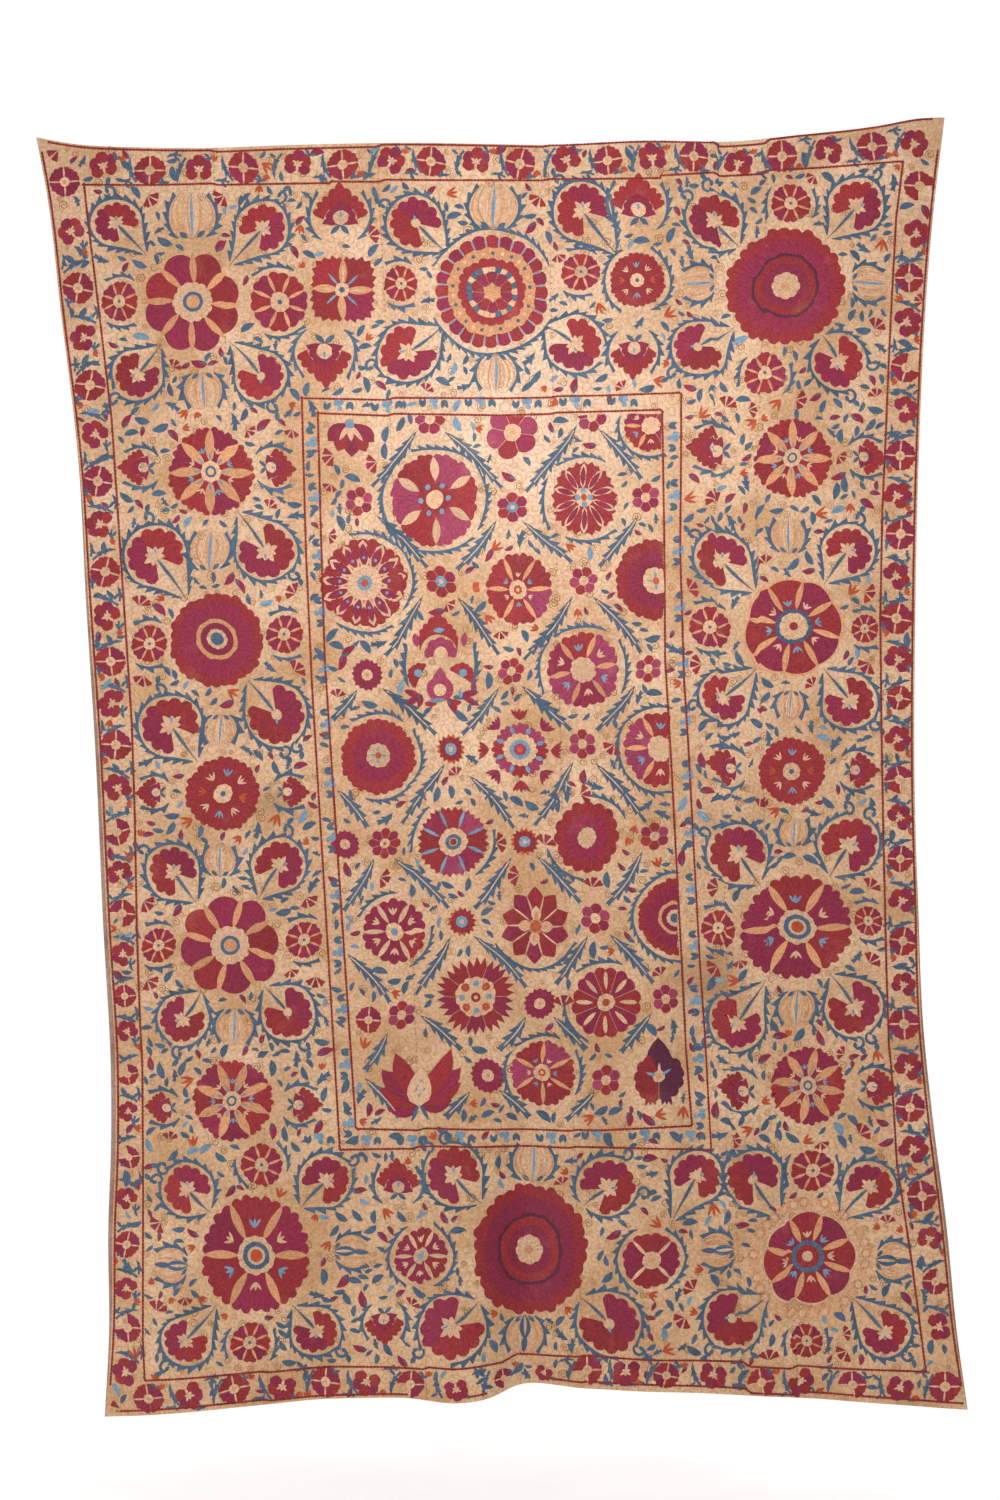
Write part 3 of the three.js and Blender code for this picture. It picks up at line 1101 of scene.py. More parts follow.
@dataclass
class Needlework:
    """Collects every worked shape by its dye and drapes them on the cloth at the end."""

    seed: int = 7
    sunk: float = -0.3
    # Spread, least and most of the chance brightness of each shape
    shades: tuple[float, float, float] = (0.07, 0.8, 1.2)
    # Distance between the places marked along a line
    claim_step: float = 14.0
    # Chance start of each shape on its silk, in mm of thread
    thread_run: float = 500.0
    patches: dict = field(default_factory=lambda: {dye: [] for dye in Dye})
    taken: list = field(default_factory=list)
    known: Array = field(default_factory=lambda: np.zeros((0, 3)))

    def __post_init__(self) -> None:
        """Starts the one random source of the drawing."""
        self.rng = np.random.default_rng(self.seed)

    def lay(self, dye: Dye, grid: Array, level: float = 0.5, closed: bool = False,
            crown: float = 0.35) -> None:
        """Works one shape.

        Args:
            dye: Its silk.
            grid: Its points, with threads along the first axis.
            level: How far its edge stands off the cloth, in mm.
            closed: Whether its last column meets its first.
            crown: How far its middle stands above its edge, in mm.
        """
        if not on_cloth(grid):
            return
        one, two = grid[1:, 1:] - grid[:-1, :-1], grid[:-1, 1:] - grid[1:, :-1]
        if (one[..., 0] * two[..., 1] - one[..., 1] * two[..., 0]).sum() < 0:
            grid = grid[:, ::-1]
        spread, least, most = self.shades
        shade = float(np.clip(self.rng.normal(1.0, spread), least, most))
        self.patches[dye].append((grid, level, crown, closed, shade))

    def disc(self, dye: Dye, centre: Array, radius: float, bumps: int, level: float,
             rim: Rim = PLAIN, inner: float = 0.0) -> None:
        """Works a disc, or a ring where it has an inner radius, with bumps on its rim."""
        self.lay(dye, wedge(centre, inner, radius, 0.0, 2 * math.pi, bumps, rim), level, True)

    def spray(self, dye: Dye, foot: Array, length: float, angle: float, spreads: tuple[float, ...],
              width: float, level: float = 0.5) -> None:
        """Works leaves of one length that spread from one foot round an angle, in radians."""
        for spread in spreads:
            self.lay(dye, leaf(foot, polar(foot, length, angle + spread), width), level)

    def claim(self, centre: Array, radius: float) -> None:
        """Marks a round place as filled."""
        self.taken.append((centre[0], centre[1], radius))

    def claim_path(self, path: Array, radius: float = 8.0) -> None:
        """Marks the places along a line as filled.

        Args:
            path: The line.
            radius: Room on each side of it.
        """
        count = max(int(path_length(path) / self.claim_step), 2)
        for point in resample(path, np.linspace(0, 1, count)):
            self.claim(point, radius)

    def is_free(self, point: Array, radius: float) -> bool:
        """Tells whether a round place is still bare cloth.

        Args:
            point: Its middle.
            radius: Its radius.

        Returns:
            Whether nothing marked reaches into it.
        """
        if len(self.known) != len(self.taken):
            self.known = np.array(self.taken)
        x, z, reach = self.known.T
        return bool((np.hypot(x - point[0], z - point[1]) > reach + radius).all())

    def pad(self, shape: tuple, owner: int, start: int) -> tuple[Array, ...]:
        """Makes one shape a pad that is closed underneath.

        Args:
            shape: Its points, level, crown, whether it closes on itself, and brightness.
            owner: Its number.
            start: Number of its first point.

        Returns:
            Places and heights, thread map, brightness and owner of its points, and the points and
            sizes of its faces.
        """
        grid, level, crown, closed, shade = shape
        n, m = grid.shape[:2]
        t = np.zeros((1, m)) if closed else np.linspace(-1, 1, m)[None, :]
        s = np.linspace(-1, 1, n)[:, None] if n > 2 else np.zeros((n, 1))
        height = level + crown * (1 - t ** 2) * (1 - s ** 2)
        along, across = run_along(grid[:, m // 2]), run_along(grid[n // 2])
        thread = np.stack(np.broadcast_arrays(along[:, None], across[None, :]), -1)
        skirt = ((1, 1), (0, 0) if closed else (1, 1))
        grid, thread = (np.pad(part, (*skirt, (0, 0)), mode="edge") for part in (grid, thread))
        height = np.pad(height, skirt, constant_values=self.sunk)
        index = start + np.arange(height.size).reshape(height.shape)
        loops = np.stack([index[:-1, :-1], index[1:, :-1], index[1:, 1:], index[:-1, 1:]], -1).ravel()
        under = rim_of(index)
        sizes = [len(under)]
        if closed:
            under = np.stack([index[0, :-1], index[0, 1:], index[-1, 1:], index[-1, :-1]], -1).ravel()
            sizes = [4] * (m - 1)
        return (np.concatenate([grid, height[..., None]], -1).reshape(-1, 3),
                thread.reshape(-1, 2) + self.rng.uniform(0, self.thread_run, 2),
                np.full(height.size, shade), np.full(height.size, owner),
                np.concatenate([loops, under]), np.array([4] * (len(loops) // 4) + sizes))

    def drape(self, dye: Dye) -> None:
        """Turns one dye's shapes into one piece, with what coincides within each shape joined.

        Args:
            dye: The silk.
        """
        parts, count = [], 0
        for owner, shape in enumerate(self.patches[dye]):
            parts.append(self.pad(shape, owner, count))
            count += len(parts[-1][0])
        points, threads, shades, owners, loops, sizes = map(np.concatenate, zip(*parts))
        # Points of one shape that lie within 0.01 mm of each other have the same key
        keys = np.concatenate([owners[:, None], np.round(points * 100)], 1).astype(np.int64)
        _, first, same = np.unique(keys, axis=0, return_index=True, return_inverse=True)
        corner = same.reshape(-1)[loops]
        starts = np.cumsum(sizes) - sizes
        before = np.arange(len(loops)) - 1
        before[starts] = starts + sizes - 1
        keep = corner != corner[before]
        owner = np.repeat(np.arange(len(sizes)), sizes)
        left = np.bincount(owner[keep], minlength=len(sizes))
        keep &= left[owner] >= 3
        left = np.bincount(owner[keep], minlength=len(sizes))
        flat = hand_drawn(points[first])
        piece = mesh_object(dye.value, place_on_cloth(*flat.T), corner[keep], left[left > 0],
                            threads[loops][keep] * MM, shades[first])
        dress(piece, DYES[dye].build())


@dataclass(frozen=True)
class Layer:
    """One layer of a flower, with its sizes as shares of the flower's radius."""

    kind: Kind
    inner: float
    outer: float
    dyes: tuple[Dye, ...]
    count: int = 1
    width: float = 0.1
    bumps: int = 1
    rim: Rim = SCALLOPED
    depth: float = 0.07
    phase: float = 0.0
    # Share of petals worked in the next dye, and how far the four sides of a squarish one draw in
    strays: float = 0.16
    square: float = 0.0

    def shapes(self, flower: "Bloom", angle: float, step: float) -> list[Array]:
        """Draws what stands at one angle, round the middle of the flower.

        Args:
            flower: The flower.
            angle: The angle, in radians.
            step: Angle between two neighbours.

        Returns:
            The grids of points.
        """
        zero = np.zeros(2)
        inner, outer = self.inner * flower.radius, self.outer * flower.radius
        if self.kind is Kind.BAND:
            return [wedge(zero, inner, outer, angle - math.pi / self.bumps, 2 * math.pi, self.bumps,
                          self.rim, self.depth, cuts=flower.ends)]
        if self.kind is Kind.WEDGES:
            grid = wedge(zero, inner, outer, angle - step / 2, step, self.bumps, self.rim, self.depth,
                         cuts=flower.ends)
            around = np.arctan2(grid[..., 1], grid[..., 0]) - flower.turn
            return [grid * (1 - self.square * np.cos(4 * around))[..., None]]
        foot, tip = polar(zero, inner, angle), polar(zero, outer, angle)
        if any(tip @ polar(zero, 1.0, way) > distance for way, distance in flower.ends):
            return []
        if self.kind is Kind.LEAVES:
            return [leaf(foot, tip, self.width * flower.radius)]
        if self.kind is Kind.DOTS:
            return [wedge(foot, 0.0, self.width * flower.radius, 0.0, 2 * math.pi, 6, PLAIN)]
        sides = [polar(zero, outer, angle + spread * self.width) for spread in (-0.5, 0.5)]
        length = outer - inner
        return [*(leaf(foot, side, 0.3 * length) for side in sides), leaf(foot, tip, 0.35 * length)]

    def work(self, needle: Needlework, flower: "Bloom", level: float) -> None:
        """Works the layer.

        Args:
            needle: Takes the shapes.
            flower: The flower it belongs to.
            level: Height off the cloth, in mm.
        """
        step = 2 * math.pi / self.count
        for k in range(self.count):
            stray = self.kind is Kind.WEDGES and needle.rng.random() < self.strays
            dye = self.dyes[(k + stray) % len(self.dyes)]
            for grid in self.shapes(flower, flower.turn + step * (k + self.phase), step):
                needle.lay(dye, flower.centre + grid * np.array(flower.stretch), level,
                           self.kind in (Kind.BAND, Kind.DOTS))


def wedges(inner: float, outer: float, count: int, *dyes: Dye, **more: object) -> Layer:
    """Petals side by side round the flower."""
    return Layer(Kind.WEDGES, inner, outer, dyes, count, **more)


def band(inner: float, outer: float, dye: Dye, bumps: int = 24, rim: Rim = PLAIN,
         depth: float = 0.07) -> Layer:
    """A closed ring or disc."""
    return Layer(Kind.BAND, inner, outer, (dye,), 1, 0.0, bumps, rim, depth)


def leaves(inner: float, outer: float, count: int, dye: Dye, width: float, phase: float = 0.0) -> Layer:
    """Spindle leaves that point outwards."""
    return Layer(Kind.LEAVES, inner, outer, (dye,), count, width, phase=phase)


def dots(radius: float, size: float, count: int, *dyes: Dye, phase: float = 0.0) -> Layer:
    """Small round dots on a circle."""
    return Layer(Kind.DOTS, radius, radius, dyes, count, size, phase=phase)


def sprigs(inner: float, outer: float, count: int, *dyes: Dye, spread: float = 0.35,
           phase: float = 0.0) -> Layer:
    """Three-leaved sprigs that point outwards."""
    return Layer(Kind.SPRIGS, inner, outer, dyes, count, spread, phase=phase)


def heart(radius: float, bumps: int) -> Layer:
    """The scalloped pale disc in a flower's middle."""
    return band(0.0, radius, CREAM, bumps, SCALLOPED)


def eye(radius: float, dye: Dye, bumps: int) -> Layer:
    """A plain small disc on a flower's middle."""
    return band(0.0, radius, dye, bumps)


def rays(inner: float, outer: float, count: int, dye: Dye, width: float) -> Layer:
    """Spindle leaves turned by half a step, so that most lie between petals."""
    return leaves(inner, outer, count, dye, width, phase=0.5)


REDS = (CRIMSON, MAGENTA)

CROSS_FLOWER = (
    wedges(0.28, 1.0, 4, *REDS, bumps=4),
    rays(0.22, 1.0, 4, CREAM, 0.13),
    heart(0.33, 10),
    eye(0.12, SALMON, 6),
)
RING_FLOWER = (
    wedges(0.30, 1.0, 8, *REDS, bumps=2, depth=0.08),
    rays(0.30, 0.97, 8, SALMON, 0.13),
    heart(0.34, 9),
    eye(0.09, BLUE, 5),
)
SIX_PETALS = (
    wedges(0.30, 1.0, 6, *REDS, ROSE, depth=0.22),
    heart(0.34, 7),
    eye(0.10, SALMON, 5),
)
SIX_PETALS_BLUE = (
    wedges(0.30, 1.0, 6, *REDS, depth=0.22),
    eye(0.36, SKY, 9),
    eye(0.16, CREAM, 6),
)
TOOTHED_FLOWER = (
    band(0.26, 1.0, MAGENTA, 17, TOOTHED, 0.13),
    heart(0.36, 9),
    eye(0.12, SALMON, 5),
)
FRINGED_FLOWER = (
    wedges(0.20, 1.0, 8, ORANGE, CRIMSON, bumps=2, rim=TOOTHED, depth=0.20),
    band(0.20, 0.78, CRIMSON, 10, SCALLOPED),
    band(0.0, 0.42, SKY, 8, SCALLOPED),
    eye(0.18, CREAM, 6),
)
EIGHT_LOBES = (
    wedges(0.38, 1.02, 8, MAGENTA, CRIMSON, depth=0.17),
    rays(0.36, 1.0, 8, SALMON, 0.15),
    heart(0.42, 14),
    band(0.14, 0.21, BLUE, 20),
    eye(0.13, SALMON, 8),
)
OUTLINED_LOBES = (
    band(0.30, 1.04, SALMON, 8, SCALLOPED, 0.06),
    wedges(0.30, 1.0, 8, *REDS, depth=0.06),
    rays(0.36, 1.0, 8, SALMON, 0.13),
    sprigs(0.44, 0.58, 8, SKY, CREAM),
    band(0.26, 0.38, BLUE, 20),
    heart(0.30, 10),
    eye(0.10, CRIMSON, 6),
)
SIX_LOBES = (
    wedges(0.32, 1.0, 6, *REDS, bumps=5, depth=0.07),
    rays(0.30, 0.98, 6, SALMON, 0.15),
    sprigs(0.46, 0.62, 6, SKY, CREAM),
    heart(0.34, 12),
    band(0.16, 0.24, BLUE, 20),
    eye(0.11, ORANGE, 8),
)
LEAF_STAR = (
    wedges(0.20, 1.0, 8, *REDS, CRIMSON, bumps=4, phase=0.5, depth=0.06),
    leaves(0.18, 0.98, 8, SALMON, 0.24),
    sprigs(0.42, 0.56, 8, SKY, CREAM, spread=0.42, phase=0.5),
    leaves(0.24, 0.42, 8, SKY, 0.05),
    heart(0.24, 8),
    band(0.08, 0.13, BLUE, 12),
)
SOLID_MEDALLION = (
    band(0.78, 1.0, CRIMSON, 30, SCALLOPED, 0.05),
    band(0.54, 0.80, MAGENTA, 36),
    band(0.51, 0.56, PLUM, 30),
    band(0.36, 0.53, CRIMSON, 30),
    band(0.22, 0.38, MAGENTA, 24),
    band(0.0, 0.24, CREAM, 8, SCALLOPED, 0.10),
    eye(0.07, SALMON, 5),
)
RINGED_MEDALLION = (
    band(0.78, 1.0, CRIMSON, 30, SCALLOPED, 0.04),
    band(0.42, 0.80, MAGENTA, 30),
    band(0.35, 0.44, SALMON, 20),
    band(0.20, 0.35, MAGENTA, 18),
    band(0.12, 0.22, CREAM, 12, SCALLOPED),
    eye(0.14, BLUE, 8),
)
SPRIG_DISC = (
    band(0.20, 1.0, CRIMSON, 28, SCALLOPED, 0.06),
    sprigs(0.44, 0.70, 8, SKY, CREAM, ORANGE, CREAM, spread=0.4),
    heart(0.26, 9),
    eye(0.08, BLUE, 5),
)
BEADED_ROSE = (
    dots(1.22, 0.115, 32, SALMON),
    dots(1.22, 0.075, 32, CREAM),
    band(0.30, 1.04, CREAM, 8, SCALLOPED, 0.08),
    wedges(0.30, 1.0, 8, *REDS, depth=0.08),
    rays(0.34, 0.98, 8, SALMON, 0.15),
    sprigs(0.42, 0.58, 8, CREAM, SKY),
    band(0.24, 0.36, BLUE, 20),
    band(0.10, 0.26, CRIMSON, 14),
    eye(0.12, CREAM, 6),
)
MANY_RINGS = (
    wedges(0.77, 1.0, 24, *REDS, bumps=1, depth=0.05),
    rays(0.76, 1.0, 24, CREAM, 0.035),
    rays(0.79, 0.95, 24, SKY, 0.03),
    band(0.60, 0.78, SALMON, 40),
    dots(0.69, 0.035, 26, BLUE, CREAM),
    band(0.44, 0.61, CRIMSON, 22, SCALLOPED, 0.06),
    wedges(0.36, 0.46, 24, CREAM, BLUE, rim=PLAIN, depth=0.0),
    wedges(0.15, 0.38, 10, *REDS, depth=0.10),
    leaves(0.0, 0.19, 6, SALMON, 0.10),
)
CREAM_LEAF_WHEEL = (
    wedges(0.20, 1.0, 6, ROSE, CRIMSON, bumps=5, depth=0.04),
    band(0.18, 0.40, CRIMSON, 20, TOOTHED, 0.12),
    rays(0.40, 0.95, 6, CREAM, 0.20),
    dots(0.32, 0.065, 6, SKY),
    eye(0.20, CREAM, 10),
)
TOOTHED_WHEEL = (
    band(0.20, 1.0, CRIMSON, 26, TOOTHED, 0.09),
    leaves(0.24, 0.96, 10, CREAM, 0.27),
    leaves(0.30, 0.87, 10, MAGENTA, 0.16),
    eye(0.26, CREAM, 8),
    dots(0.19, 0.09, 4, SKY),
    eye(0.10, ORANGE, 6),
)
DAISY_WHEEL = (
    band(0.40, 1.0, CRIMSON, 26, SCALLOPED, 0.05),
    leaves(0.30, 0.98, 13, CREAM, 0.32),
    leaves(0.36, 0.89, 13, MAGENTA, 0.20),
    dots(0.56, 0.04, 13, SKY),
    heart(0.40, 10),
    band(0.08, 0.17, SKY, 14),
    eye(0.09, ORANGE, 6),
)
SIX_SPINDLES = (
    wedges(0.22, 1.0, 6, ROSE, CRIMSON, bumps=4, depth=0.07),
    rays(0.26, 0.98, 6, SALMON, 0.14),
    sprigs(0.34, 0.48, 6, CREAM, SKY),
    heart(0.27, 9),
    eye(0.15, ORANGE, 8),
    eye(0.06, CREAM, 5),
)
SPRIG_WHEEL = (
    wedges(0.30, 1.0, 6, *REDS, ROSE, bumps=4, depth=0.07),
    rays(0.34, 0.96, 6, SALMON, 0.15),
    sprigs(0.52, 0.72, 6, SKY, CREAM),
    band(0.0, 0.36, CREAM, 9, SCALLOPED, 0.1),
)
SUNBURST = (
    wedges(0.20, 1.0, 10, *REDS, bumps=1, rim=TOOTHED, depth=0.22),
    rays(0.20, 0.86, 10, CREAM, 0.05),
    leaves(0.10, 0.52, 4, CREAM, 0.30),
    leaves(0.12, 0.40, 4, SALMON, 0.12),
    eye(0.16, ORANGE, 8),
)
SQUARE_ROSE = (
    wedges(0.20, 1.0, 4, MAGENTA, CRIMSON, bumps=7, rim=TOOTHED, depth=0.10, phase=0.5, square=0.12),
    leaves(0.10, 0.86, 4, SALMON, 0.24),
    rays(0.16, 0.62, 4, SKY, 0.07),
    leaves(0.14, 0.70, 4, CREAM, 0.06),
    heart(0.20, 8),
    eye(0.09, BLUE, 5),
)
GREAT_DISC = (
    band(0.66, 1.0, CRIMSON, 28, SCALLOPED, 0.05),
    band(0.30, 0.68, MAGENTA, 26),
    band(0.0, 0.33, CREAM, 10, SCALLOPED, 0.08),
    leaves(0.06, 0.24, 4, SKY, 0.10),
    eye(0.09, ORANGE, 6),
)
BLOCK_WHEEL = (
    wedges(0.58, 1.0, 8, CRIMSON, ROSE, bumps=3, depth=0.10),
    sprigs(1.10, 1.54, 8, CRIMSON, MAGENTA, spread=0.42),
    sprigs(1.10, 1.50, 8, CRIMSON, MAGENTA, spread=0.22),
    rays(0.60, 0.92, 8, SKY, 0.17),
    band(0.30, 0.62, CREAM, 16, SCALLOPED, 0.10),
    band(0.22, 0.36, SKY, 12),
    eye(0.24, ROSE, 8),
    eye(0.12, ORANGE, 5),
)
TOOTHED_EIGHT = (
    wedges(0.32, 1.0, 8, CRIMSON, ROSE, MAGENTA, bumps=4, rim=TOOTHED, depth=0.10),
    rays(0.40, 0.98, 8, SKY, 0.09),
    heart(0.40, 12),
    band(0.12, 0.22, BLUE, 14),
    eye(0.10, CRIMSON, 6),
)
EIGHT_PETALS = (
    wedges(0.28, 1.0, 8, *REDS, depth=0.20),
    heart(0.32, 8),
    eye(0.11, ORANGE, 5),
)
SIX_RAYS = (
    wedges(0.24, 1.0, 6, *REDS, bumps=3, depth=0.09),
    rays(0.28, 1.0, 6, CREAM, 0.16),
    sprigs(0.50, 0.74, 6, CREAM),
    heart(0.28, 8),
    eye(0.12, SKY, 6),
)
TOOTHED_RING = (
    wedges(0.46, 1.02, 10, *REDS, bumps=3, rim=TOOTHED, depth=0.20),
    heart(0.54, 14),
    dots(0.36, 0.12, 4, ORANGE, phase=0.5),
    dots(0.36, 0.08, 4, SKY),
    eye(0.13, CRIMSON, 6),
    eye(0.06, CREAM, 5),
)
LOBED_DISC = (
    band(0.60, 1.0, CRIMSON, 16, SCALLOPED, 0.09),
    band(0.20, 0.66, MAGENTA, 16, SCALLOPED, 0.06),
    heart(0.29, 12),
    eye(0.08, SALMON, 5),
)
DROP_WHEEL = (
    wedges(0.20, 1.0, 8, *REDS, bumps=2, depth=0.08),
    leaves(0.36, 0.90, 8, CREAM, 0.18),
    heart(0.26, 8),
    eye(0.12, ORANGE, 6),
)


@dataclass(frozen=True)
class Bloom:
    """A flower of a design, at a pixel of the photograph, with its radius in mm.

    The degrees turn it, thorny arcs hug it from the hugged sides, and each cut is a straight edge
    that ends it, by its direction in degrees and its distance in mm.
    """

    px: float
    py: float
    radius: float
    design: tuple[Layer, ...]
    degrees: float = 90.0
    stretch: Pair = (1.0, 1.0)
    hugged: tuple[float, ...] = ()
    cuts: tuple[Pair, ...] = ()
    # Heights of the first layer and of each further one above the last, in mm
    levels: Pair = (0.55, 0.22)
    # Distance, half the angle and room of the arcs, and their width, thorns and spacing
    arc: tuple[float, float, float] = (11.0, 0.62, 10.0)
    thorns: tuple[float, float, float] = (4.6, 9.5, 15.0)

    @property
    def centre(self) -> Array:
        """The flower's middle on the cloth."""
        return spot(self.px, self.py)

    @property
    def turn(self) -> float:
        """Angle of its first petal, in radians."""
        return math.radians(self.degrees)

    @property
    def ends(self) -> list[Pair]:
        """Its cuts, with their directions in radians."""
        return [(math.radians(way), distance) for way, distance in self.cuts]

    def work(self, needle: Needlework) -> None:
        """Works the flower and the arcs that hug it.

        Args:
            needle: The needle that lays its silk.
        """
        for step, layer in enumerate(self.design):
            layer.work(needle, self, self.levels[0] + self.levels[1] * step)
        reach = self.radius * max(self.stretch)
        widest = max(layer.outer for layer in self.design)
        needle.claim(self.centre, reach * max(widest, 1.0) + 3)
        away, half, room = self.arc
        for side in self.hugged:
            middle = math.radians(side)
            path = arc_path(self.centre, reach + away, middle - half, middle + half)
            needle.lay(BLUE, briar(path, *self.thorns, -1))
            needle.claim_path(path, room)


GREAT_ROSETTES = [
    Bloom(193, 303, 97, EIGHT_LOBES, 112, (0.97, 1.03)),
    Bloom(343, 288, 72, SQUARE_ROSE, 90, (0.98, 1.0)),
    Bloom(492, 293, 114, MANY_RINGS, hugged=(60, 120, -60, -120)),
    Bloom(637, 282, 56, SPRIG_DISC, hugged=(150, 210, -30, 30)),
    Bloom(785, 288, 118, SOLID_MEDALLION),
    Bloom(211, 472, 86, LEAF_STAR),
    Bloom(217, 640, 94, RINGED_MEDALLION),
    Bloom(223, 794, 74, SPRIG_DISC, 80),
    Bloom(230, 945, 98, EIGHT_LOBES, 100),
    Bloom(233, 1100, 80, LEAF_STAR, 70),
    Bloom(256, 1254, 112, SIX_LOBES, 90, (0.96, 1.06)),
    Bloom(792, 460, 78, LEAF_STAR),
    Bloom(793, 628, 96, OUTLINED_LOBES, 100),
    Bloom(792, 772, 66, SPRIG_DISC),
    Bloom(796, 928, 108, SIX_LOBES, 90, (1.04, 0.96)),
    Bloom(808, 1087, 76, LEAF_STAR, 80),
    Bloom(809, 1259, 92, BEADED_ROSE, 95),
    Bloom(421, 1254, 54, SIX_RAYS, hugged=(150, 210, -30, 30)),
    Bloom(530, 1251, 122, SOLID_MEDALLION, 90, (0.94, 1.08)),
    Bloom(651, 1261, 56, CROSS_FLOWER, hugged=(150, 210, -30, 30)),
]
RING_FLOWERS = [
    (121, 303, 38), (279, 300, 58), (400, 285, 34), (580, 275, 38), (149, 644, 36), (285, 633, 37),
    (159, 945, 34), (304, 939, 36), (262, 1164, 42), (251, 1342, 40), (791, 204, 40), (764, 375, 42),
    (710, 628, 40), (865, 630, 28), (718, 930, 34), (869, 922, 28), (812, 1172, 42), (806, 1342, 34),
]
# Middle pixel and radius in mm of each carnation, lotus and tulip
CARNATIONS = [
    (117, 223, 36), (263, 227, 42), (138, 375, 40), (261, 375, 40), (415, 224, 44), (408, 353, 48),
    (582, 212, 46), (575, 347, 46), (715, 221, 44), (856, 208, 44), (698, 350, 42), (838, 364, 44),
    (156, 556, 50), (266, 549, 48), (171, 726, 50), (276, 713, 50), (173, 871, 42), (279, 864, 42),
    (183, 1019, 40), (288, 1012, 44), (188, 1188, 40), (326, 1179, 40), (187, 1340, 38),
    (315, 1331, 38), (722, 558, 44), (849, 552, 40), (724, 697, 38), (849, 703, 42), (737, 852, 48),
    (849, 846, 48), (736, 1021, 44), (853, 1008, 46), (454, 1174, 48), (607, 1188, 48),
    (452, 1326, 56), (609, 1325, 52), (697, 1179, 40), (753, 1176, 46), (869, 1187, 40),
    (731, 1321, 46), (885, 1333, 38),
]
LOTUSES = [
    (340, 214, 50, 90), (325, 353, 50, -90), (638, 208, 50, 90), (633, 354, 42, -90),
    (141, 468, 34, 180), (274, 467, 36, 0), (714, 449, 42, 180), (865, 459, 34, 0),
    (155, 793, 30, 180), (289, 791, 30, 0), (728, 765, 34, 180), (857, 771, 34, 0),
    (164, 1107, 30, 180), (300, 1103, 34, 0), (740, 1088, 36, 180), (874, 1088, 34, 0),
    (398, 1182, 40, 90), (385, 1320, 36, -90),
]
TULIPS = [
    (192, 216, 50, 90), (204, 391, 40, -90), (494, 208, 50, 90), (496, 374, 40, -90),
    (699, 285, 36, 180), (867, 286, 36, 0), (210, 551, 42, 90), (221, 729, 34, -90),
    (221, 861, 34, 90), (234, 1026, 38, -90), (788, 538, 36, 90), (790, 706, 30, -90),
    (794, 834, 32, 90), (797, 1008, 38, -90), (533, 1164, 42, 90), (524, 1336, 40, -90),
    (172, 1264, 36, 180), (352, 1251, 36, 0), (718, 1251, 36, 180), (893, 1261, 38, 0),
]
SMALL_FANS = [
    (373, 233), (537, 200), (728, 402), (798, 402), (877, 326), (142, 603), (293, 591), (143, 680),
    (296, 666), (691, 591), (867, 595), (696, 666), (867, 668), (147, 904), (309, 899), (150, 982),
    (315, 979), (714, 890), (871, 887), (714, 970), (871, 960), (713, 500), (158, 1306),
    (158, 1225), (861, 1133), (692, 1289), (769, 1355), (844, 1355), (682, 1321), (150, 200),
    (222, 197), (612, 749), (499, 843), (546, 842), (563, 1004), (516, 876), (584, 796),
    (593, 886), (383, 877), (330, 456), (372, 462),
]

# The outermost border's flowers, turn and turn about: carnation-like cloves and cross flowers
TOP_ROW = [
    (104, 168), (150, 171), (198, 169), (244, 167), (298, 164), (343, 163), (390, 162), (431, 163),
    (476, 162), (521, 164), (566, 163), (607, 162), (652, 160), (694, 160), (739, 162), (781, 157),
    (828, 154), (872, 148), (914, 146),
]
LEFT_ROW = [
    (73, 234), (79, 288), (85, 338), (90, 386), (95, 435), (99, 481), (101, 524), (105, 573),
    (108, 616), (111, 661), (113, 704), (116, 745), (118, 789), (118, 831), (120, 873), (122, 914),
    (124, 954), (125, 996), (127, 1031), (128, 1075), (128, 1113), (128, 1157), (127, 1199),
    (127, 1244), (126, 1289), (127, 1329), (127, 1372),
]
RIGHT_ROW = [
    (914, 236), (909, 280), (907, 325), (905, 369), (904, 411), (901, 456), (897, 498), (899, 536),
    (896, 578), (897, 620), (897, 660), (899, 699), (898, 741), (898, 781), (899, 819), (901, 859),
    (901, 902), (902, 943), (904, 986), (903, 1025), (906, 1067), (910, 1108), (912, 1151),
    (920, 1195), (929, 1239), (934, 1282), (937, 1326),
]
BOTTOM_ROW = [
    (149, 1397), (190, 1393), (235, 1389), (281, 1384), (326, 1381), (367, 1381), (411, 1381),
    (456, 1386), (503, 1380), (545, 1373), (587, 1371), (626, 1372), (665, 1376), (713, 1376),
    (761, 1380), (802, 1382), (853, 1386), (900, 1388), (943, 1386),
]
CORNER_FLOWERS = [(65, 182), (918, 188)]
CORNER_FANS = [(56, 152), (117, 1411)]

